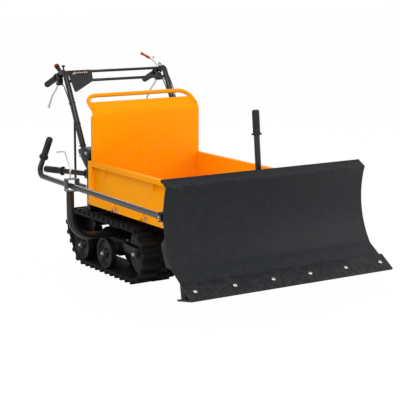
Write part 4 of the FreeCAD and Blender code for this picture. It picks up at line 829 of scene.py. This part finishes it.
THROTTLE_JOINT = Vector((290, 806, 1006))
THROTTLE_TIP = Vector((255, 866, 1038))
throttle_way = (THROTTLE_TIP - THROTTLE_JOINT).normalized()
shaft = swept(
    "throttle_shaft",
    ((301, 764, 966), (300, 780, 985), tuple(THROTTLE_JOINT), tuple(THROTTLE_JOINT + throttle_way * 50)), 3.6,
)
base = turned(
    "base", ((0, 0), (13, 0), (13, 8), (11, 11), (6, 12), (6, 17), (0, 18)), (301, 764, 954), (0, 0.4, 1),
)
settle(joined("throttle_shaft", [shaft, base]), "throttle_lever", "zinc", hide=["throttle_lever"])
handle = turned(
    "throttle_handle",
    ((0, 14), (5, 14), (7.2, 17), (7.4, 30), (6, 45), (6.6, 58), (8, 68), (7.4, 74), (4, 76), (0, 76.4)),
    tuple(THROTTLE_JOINT), tuple(throttle_way), 20,
)
settle(handle, "throttle_lever", "red")
stud = turned(
    "throttle_stop", ((0, 0), (5, 0), (5, 9), (3.5, 11), (0, 11.5)), (299, 803, 1011), (0, 0.3, 1), 16,
)
settle(stud, "throttle_lever", "bed_paint")

# %% Clutch perches
for name, side in (("right", -1), ("left", 1)):
    x = side * 301
    perch = block("clutch_perch_" + name, (x - 13.5, 742, 897), (x + 13.5, 776, 934))
    bpy.ops.object.mode_set(mode="EDIT")
    pick_faces(perch, lambda middle, normal: normal.y > 0.9)
    bpy.ops.mesh.inset(thickness=0.006)
    bpy.ops.mesh.extrude_region_move(TRANSFORM_OT_translate={"value": (0, 0.006, -0.008)})
    bpy.ops.object.mode_set(mode="OBJECT")
    soften(perch, 0.007, 3)
    outline = ((14, -12), (17, -12), (18.5, -9), (18.5, 9), (17, 12), (14, 12))
    collar = turned("collar", outline, (x, 757, 948), (0, 0.928, -0.373))
    settle(joined(perch.name, [perch, collar]), "clutch_levers", "plastic")
rows = []
for x in (-301, 301):
    rows.append(((x - 13.5, 759, 914), (-1, 0, 0), 0.6))
    rows.append(((x + 13.5, 759, 914), (1, 0, 0), 0.6))
settle(copies(bolt, "perch_bolts", rows), "clutch_levers", "zinc")
print("controls: stop switch, throttle, two clutch perches")

# %% [markdown]
# ## Control cables
# From each lever a thin sheathed cable runs down its handlebar tube to the engine. A cable of this kind is
# held all the way: it is tied to the tube every hand's breadth and bows out a little between the lever and
# its first tie. One smooth swept line makes each cable, and small plastic ties hold it.

# %% Cables and ties
def beside_tube(side, share, out, across=0.0):
    """A point beside the handlebar's straight tube: share 0 at its foot, 1 at its top corner."""
    y = 484 + 218 * share
    z = 568 + 412 * share
    return (side * (301 + across), y + 0.884 * out, z - 0.468 * out)


cable_runs = []
for side, across in ((-1, 9), (1, 9), (1, -6), (1, 15)):
    top = (side * (301 + across * 0.6), 762, 905 if across != 15 else 968)
    line = [top]
    if across == 15:
        line += [(310, 772, 992), (325, 768, 982), (332, 735, 958), (333, 700, 922), (332, 664, 878)]
        line += [(330, 632, 830), (326, 606, 780)]
        line += [beside_tube(side, share, 16.5, across * 0.7) for share in (0.38, 0.24, 0.12)]
    else:
        line += [beside_tube(side, 0.88, 30 + abs(across) * 0.4, across), beside_tube(side, 0.76, 23, across)]
        line += [beside_tube(side, share, 16.5, across * 0.7) for share in (0.66, 0.52, 0.38, 0.24, 0.12)]
    line += [(side * (296 + across * 0.5), 500, 560), (side * 280, 512, 500), (side * 262, 520, 430)]
    line += [(side * 230, 500, 360), (side * 190, 470, 330), (side * 100, 458, 310)]
    cable_runs.append(swept("cable", line, 2.8, 2))
settle(joined("control_cables", cable_runs), "handlebar", "plastic")
tie = turned("tie", ((17, -1.5), (18, -1.5), (18, 1.5), (17, 1.5), (17, -1.5)), steps=24)
patterns.append(tie)
rows = []
for side in (-1, 1):
    for share in (0.6, 0.35, 0.1):
        rows.append((beside_tube(side, share, 2.8, 1.5), (0, 0.468, 0.884), 1.04))
settle(copies(tie, "cable_ties", rows), "handlebar", "plastic")
print("cables:", len(cable_runs), "with", len(rows), "ties")

# %% [markdown]
# ## Engine
# The open engine sits behind the headboard. Its pull starter is a pressed cover with rows of slots round a
# boss, here raised ribs on a turned disc. The tank has a rolled seam and a ribbed cap. The silencer has a
# guard with louvres that are pressed outwards, the air cleaner a turned knob, and a moulded cap with a lead
# goes to the spark plug. Each is a small form on top of the frame's casting.

# %% Pull starter
rim = turned(
    "starter_cover",
    ((0, 155.5), (24, 155.5), (26, 158), (26, 160), (30, 161), (34, 158), (36, 155.8), (68, 155.8),
     (72, 158.2), (77, 157.6), (80, 154), (80, 150), (0, 150)),
    (0, 555, 385), (1, 0, 0), 48,
)
slats = []
for number in range(20):
    angle = 2 * math.pi * number / 20
    out = Vector((0, math.cos(angle), math.sin(angle)))
    lean = Vector((0, -math.sin(angle), math.cos(angle)))
    middle = Vector((156, 555, 385))
    line = (middle + out * 40, middle + out * 54 + lean * 4, middle + out * 67 + lean * 10)
    slats.append(swept("slat", line, 2.2, 2))
settle(joined("starter_cover", [rim] + slats), "recoil_starter")
pull = turned(
    "starter_handle",
    ((0, -4), (7, -4), (9, 0), (10.4, 6), (10.4, 26), (9, 34), (11, 38), (10, 41), (0, 42)),
    (140, 474, 455), (0, 1, 0), 20,
)
settle(pull, "recoil_starter", "plastic")
rows = [((156.5, 617, 406.7), (1, 0, 0), 0.7), ((156.5, 493, 406.7), (1, 0, 0), 0.7)]
rows += [((156.5, 576.7, 316.8), (1, 0, 0), 0.7)]
settle(copies(bolt, "starter_bolts", rows), "recoil_starter", "zinc")

# %% Tank, cap and seam
cap_outline = [(0, 20), (20, 20), (24, 19), (26, 16), (27.5, 14), (27.5, 2), (26, 0), (0, 0)]
tank_cap = turned("tank_cap", cap_outline[::-1], (110, 540, 661), (0, 0, 1), 40)
ribs = []
for number in range(16):
    angle = 2 * math.pi * number / 16
    x = 110 + 27.4 * math.cos(angle)
    y = 540 + 27.4 * math.sin(angle)
    ribs.append(swept("rib", ((x, y, 664), (x, y, 670), (x, y, 676)), 1.6, 1))
settle(joined("tank_cap", [tank_cap] + ribs), "fuel_tank", "plastic")
seam_line = (
    (14, 454, 618), (168, 454, 618), (191, 454, 618), (191, 476, 618), (191, 604, 618), (191, 626, 618),
    (168, 626, 618), (14, 626, 618), (-11, 626, 618), (-11, 604, 618), (-11, 476, 618), (-11, 454, 618),
)
settle(swept("tank_seam", seam_line, 2.6, 2, closed=True), "fuel_tank")
tap = turned("fuel_tap", ((0, 0), (7, 0), (7, 10), (4, 12), (4, 22), (0, 22)), (150, 470, 556), (0, 0, 1), 16)
hose_line = ((150, 470, 560), (150, 462, 545), (120, 458, 530), (60, 462, 520), (10, 480, 520))
hose = swept("hose", hose_line, 3.5, 2)
settle(joined("fuel_tap", [tap, hose]), "fuel_tank", "plastic")

# %% Silencer guard
guard = block("silencer_guard", (-6, 699, 446), (101, 703, 529))
bpy.ops.object.mode_set(mode="EDIT")
bpy.ops.mesh.select_all(action="SELECT")
bpy.ops.mesh.bisect(plane_co=mm(47, 0, 0), plane_no=(1, 0, 0))
pick_faces(guard, lambda middle, normal: normal.y > 0.9)
bpy.ops.mesh.inset(thickness=0.008, use_individual=True)
bpy.ops.mesh.extrude_region_move(TRANSFORM_OT_translate={"value": (0, -0.0025, 0)})
bpy.ops.object.mode_set(mode="OBJECT")
soften(guard, 0.001, 2)
louvres = []
for row in range(6):
    z = 459 + row * 11
    for low, high in ((6, 40), (56, 90)):
        line = ((low, 702, z), (low + 4, 705, z + 2), (high - 4, 705, z + 2), (high, 702, z))
        louvres.append(swept("louvre", line, 2.2, 2))
pipe = swept("pipe", ((84, 690, 452), (92, 700, 444), (108, 706, 438), (122, 706, 436)), 8, 3)
settle(joined("silencer_guard", [guard] + louvres + [pipe]), "muffler")

# %% Air cleaner, carburettor, plug and small castings
knob = turned(
    "knob",
    ((0, 0), (9, 0), (9, 5), (17, 7), (18, 10), (17, 14), (10, 16), (0, 17)),
    (-68, 470, 592), (0, -1, 0), 24,
)
seam = (
    (-126, 467.5, 560), (-12, 467.5, 560), (-6, 472, 560), (-6, 606, 560), (-12, 612, 560), (-126, 612, 560),
    (-131, 606, 560), (-131, 472, 560),
)
cover_seam = swept("cover_seam", seam, 2.4, 2, closed=True)
settle(joined("air_cleaner_knob", [knob, cover_seam]), "air_filter")
throat = turned(
    "carburettor",
    ((0, 0), (18, 0), (18, 6), (14, 9), (14, 26), (19, 29), (19, 36), (0, 36)),
    (-24, 560, 505), (1, 0, 0), 24,
)
bowl = turned(
    "bowl", ((0, 0), (11, 0), (17, 4), (18, 22), (20, 24), (20, 29), (0, 29)), (-4, 560, 462), (0, 0, 1), 24,
)
settle(joined("carburettor", [throat, bowl]), "engine_block")
boot = turned(
    "plug_cap",
    ((0, 0), (9, 0), (10, 6), (10, 14), (8, 20), (8, 34), (5, 38), (0, 38)),
    (45, 618, 560), (0, -0.75, 0.6), 20,
)
lead_line = (
    (45, 592, 582), (46, 580, 590), (60, 560, 572), (104, 540, 560), (118, 520, 520), (120, 510, 480),
)
lead = swept("lead", lead_line, 3, 2)
settle(joined("plug_cap", [boot, lead]), "engine_block", "plastic")
dip = turned(
    "oil_filler", ((0, 0), (14, 0), (14, 5), (12, 7), (12, 14), (16, 15), (16, 22), (12, 24), (0, 24)),
    (90, 645, 325), (0, 1, 0.35), 24,
)
settle(dip, "engine_block", "plastic")
rows = [((x, 462, z), (0, -1, 0), 0.75) for x, z in ((-22, 297), (106, 297))]
rows += [((x, y, 303), (0, 0, 1), 1.0) for x in (-22, 106) for y in (470, 641)]
rows += [((x, y, 545), (0, 0, 1), 0.8) for x in (14, 76) for y in (534, 597)]
rows += [((118.2, y, z), (1, 0, 0), 0.7) for y, z in ((486, 410), (624, 410), (486, 312), (624, 312))]
settle(copies(bolt, "engine_bolts", rows), "engine_block", "zinc")
COVER_BOLTS = ((560, 448), (514, 400), (606, 400), (518, 320), (578, 300), (545, 238))
rows = [((-86, y, z), (-1, 0, 0), 0.7) for y, z in COVER_BOLTS]
boss = turned("boss", ((0, 0), (20, 0), (20, 3), (17, 5), (8, 5), (0, 5)), (-86, 560, 400), (-1, 0, 0), 28)
low_boss = turned("boss", ((0, 0), (15, 0), (15, 3), (12, 5), (0, 5)), (-86, 545, 270), (-1, 0, 0), 28)
settle(joined("belt_cover_bosses", [boss, low_boss]), "belt_cover")
settle(copies(bolt, "belt_cover_bolts", rows), "belt_cover", "zinc")
rows = []
for side, x in ((-1, -40), (1, 85)):
    rows += [((x, y, z), (side, 0, 0), 0.8) for y in (452, 482, 586) for z in (160, 255)]
settle(copies(bolt, "gearbox_bolts", rows), "gearbox", "zinc")
print("engine: starter, tank cap and seam, silencer guard, air cleaner, carburettor, plug, fillers and bolts")

# %% [markdown]
# ## Bed
# The bed is folded sheet. Its folded rims end in a small return, and the joints of such a bed are bolted
# and spot welded. The bars on which a side wall slides end in a nut with a ring under each lug. Thin hem
# beads run under the rims, which gives them the shadow line that a folded edge has.

# %% Rim hems, slide bar nuts and bed bolts
for name, side in (("right", -1), ("left", 1)):
    x = side * 328.4
    hem = swept("hem_" + name, ((x, -444, 521.5), (x, -40, 521.5), (x, 368, 521.5)), 1.8, 2)
    settle(hem, "side_wall_" + name)
    rows = []
    rings = []
    for y in (-134, 146):
        rows.append(((side * 334.6, y, 342), (side, 0, 0), 1.2))
        ring_points = []
        for step in range(8):
            angle = math.pi * step / 4
            ring_points.append((side * 338, y + 10 * math.cos(angle), 331 + 10 * math.sin(angle)))
        rings.append(swept("ring", ring_points, 1.6, 2, closed=True))
    settle(copies(bolt, "slide_nuts_" + name, rows), "side_wall_" + name)
    settle(joined("slide_rings_" + name, rings), "side_wall_" + name, "frame_paint")
front_hem = swept("front_hem", ((-306, -476, 521.5), (0, -476, 521.5), (306, -476, 521.5)), 1.8, 2)
settle(front_hem, "front_wall")
rows = [((x, -476, z), (0, -1, 0), 0.7) for x in (-318, 318) for z in (390, 470, 505)]
settle(copies(dome, "front_wall_rivets", rows), "front_wall", "bed_paint")
rows = [((x, 403, z), (0, 1, 0), 0.7) for x in (-319, 319) for z in (390, 450, 515)]
settle(copies(dome, "headboard_rivets", rows), "bed_floor", "bed_paint")
brace = block("headboard_brace", (-300, 374, 640), (300, 380, 664))
bpy.ops.object.mode_set(mode="EDIT")
pick_faces(brace, lambda middle, normal: normal.y > 0.9)
bpy.ops.mesh.inset(thickness=0.006, depth=0.006)
bpy.ops.object.mode_set(mode="OBJECT")
soften(brace, 0.0015, 2)
settle(brace, "headboard")
print("bed: hems, slide nuts with rings, rivets and a pressed brace")

# %% [markdown]
# ## Frame fasteners
# Every joint of the plough is a pin with a bolt head or a nut at its end. The same goes for the brackets of
# the handlebar and the rod guide. All these are the one bolt, at different sizes.

# %% Plough, column and post bolts
rows = [((side * 79, -175, 110), (side, 0, 0), 1.5) for side in (-1, 1)]
rows += [((side * 41, -175, 110), (-side, 0, 0), 1.4) for side in (-1, 1)]
settle(copies(bolt, "lift_pin_bolts", rows), "lift_bracket", "zinc")
top_y, top_z = raised(-690, 322)
rows = [((0, top_y, top_z - 1), (0, 0.1736, 0.9848), 1.9)]
knuckle_axis = (0.0958, 0.1728, 0.9803)
for proud, way in ((21, 1), (-21, -1)):
    point = Vector((-530, -647.7, 452.3)) + Vector(knuckle_axis) * (proud + way * 6)
    rows.append((tuple(point), tuple(Vector(knuckle_axis) * way), 0.85))
settle(copies(bolt, "swivel_and_knuckle_bolts", rows), "moldboard", "zinc")
rows = [((-530 + way * 15.5, -647.7, 452.3), (way, 0, 0), 0.8) for way in (-1, 1)]
settle(copies(bolt, "rod_fork_bolts", rows), "angle_rod", "zinc")
rows = [((-552, y, 448), (-1, 0, 0), 0.6) for y in (200, 224)]
rows += [((-530, 212, 498), (0, 0, 1), 0.7)]
settle(copies(bolt, "guide_bolts", rows), "rod_guide", "zinc")
rows = []
for side in (-1, 1):
    for y, z in ((430, 580), (492, 560)):
        rows.append(((side * 322, y, z), (side, 0, 0), 1.0))
        rows.append(((side * 280, y, z), (-side, 0, 0), 1.0))
    rows.append(((side * 304, 460, 399), (side, 0, 0), 0.9))
    rows.append(((side * 316, 427, 340), (side, 0, 0), 1.1))
settle(copies(bolt, "post_bolts", rows), "handlebar_posts", "zinc")
rows = [((x, y, 291), (0, 0, 1), 1.0) for x in (-112, 112, 200) for y in (456, 676)]
settle(copies(bolt, "deck_bolts", rows), "engine_deck", "zinc")
FLANGE_BOLTS = ((234, 205), (190, 205), (212, 227), (212, 183))
rows = [((-132, y, z), (-1, 0, 0), 0.8) for y, z in FLANGE_BOLTS]
settle(copies(bolt, "column_bolts", rows), "plough_column", "zinc")
print("frame: pins, guide, posts, deck and column bolted")

# %% [markdown]
# ## Sheet metal with soft edges
# Real folded and cut steel has no perfectly sharp edge, and a render shows this at once: every edge should
# catch a thin line of light. Each node that no piece has replaced is copied, its loose triangles are merged,
# flat faces are joined, and a small bevel rounds the edges. The frame's own mesh is left alone.

# %% Soften copies of the frame's nodes
SHAPED = {"rubber_track_right", "rubber_track_left", "hand_grips", "stop_switch", "throttle_lever"}


def softened(node, width=0.0012, segments=2, angle=35):
    """A copy of a node with merged triangles and bevelled edges, which stands for that node."""
    source = nodes[node]
    piece = bpy.data.objects.new("soft_" + node, source.data.copy())
    bpy.context.scene.collection.objects.link(piece)
    activate(piece)
    bpy.ops.object.mode_set(mode="EDIT")
    bpy.ops.mesh.select_all(action="SELECT")
    bpy.ops.mesh.remove_doubles(threshold=0.00001)
    bpy.ops.mesh.dissolve_limited(angle_limit=math.radians(1.5))
    bpy.ops.object.mode_set(mode="OBJECT")
    soften(piece, width, segments, angle)
    return settle(piece, node, hide=[node])


for node in sorted(nodes):
    if node not in SHAPED:
        softened(node)
for pattern in patterns:
    bpy.data.objects.remove(pattern)
print("softened nodes:", len(nodes) - len(SHAPED))
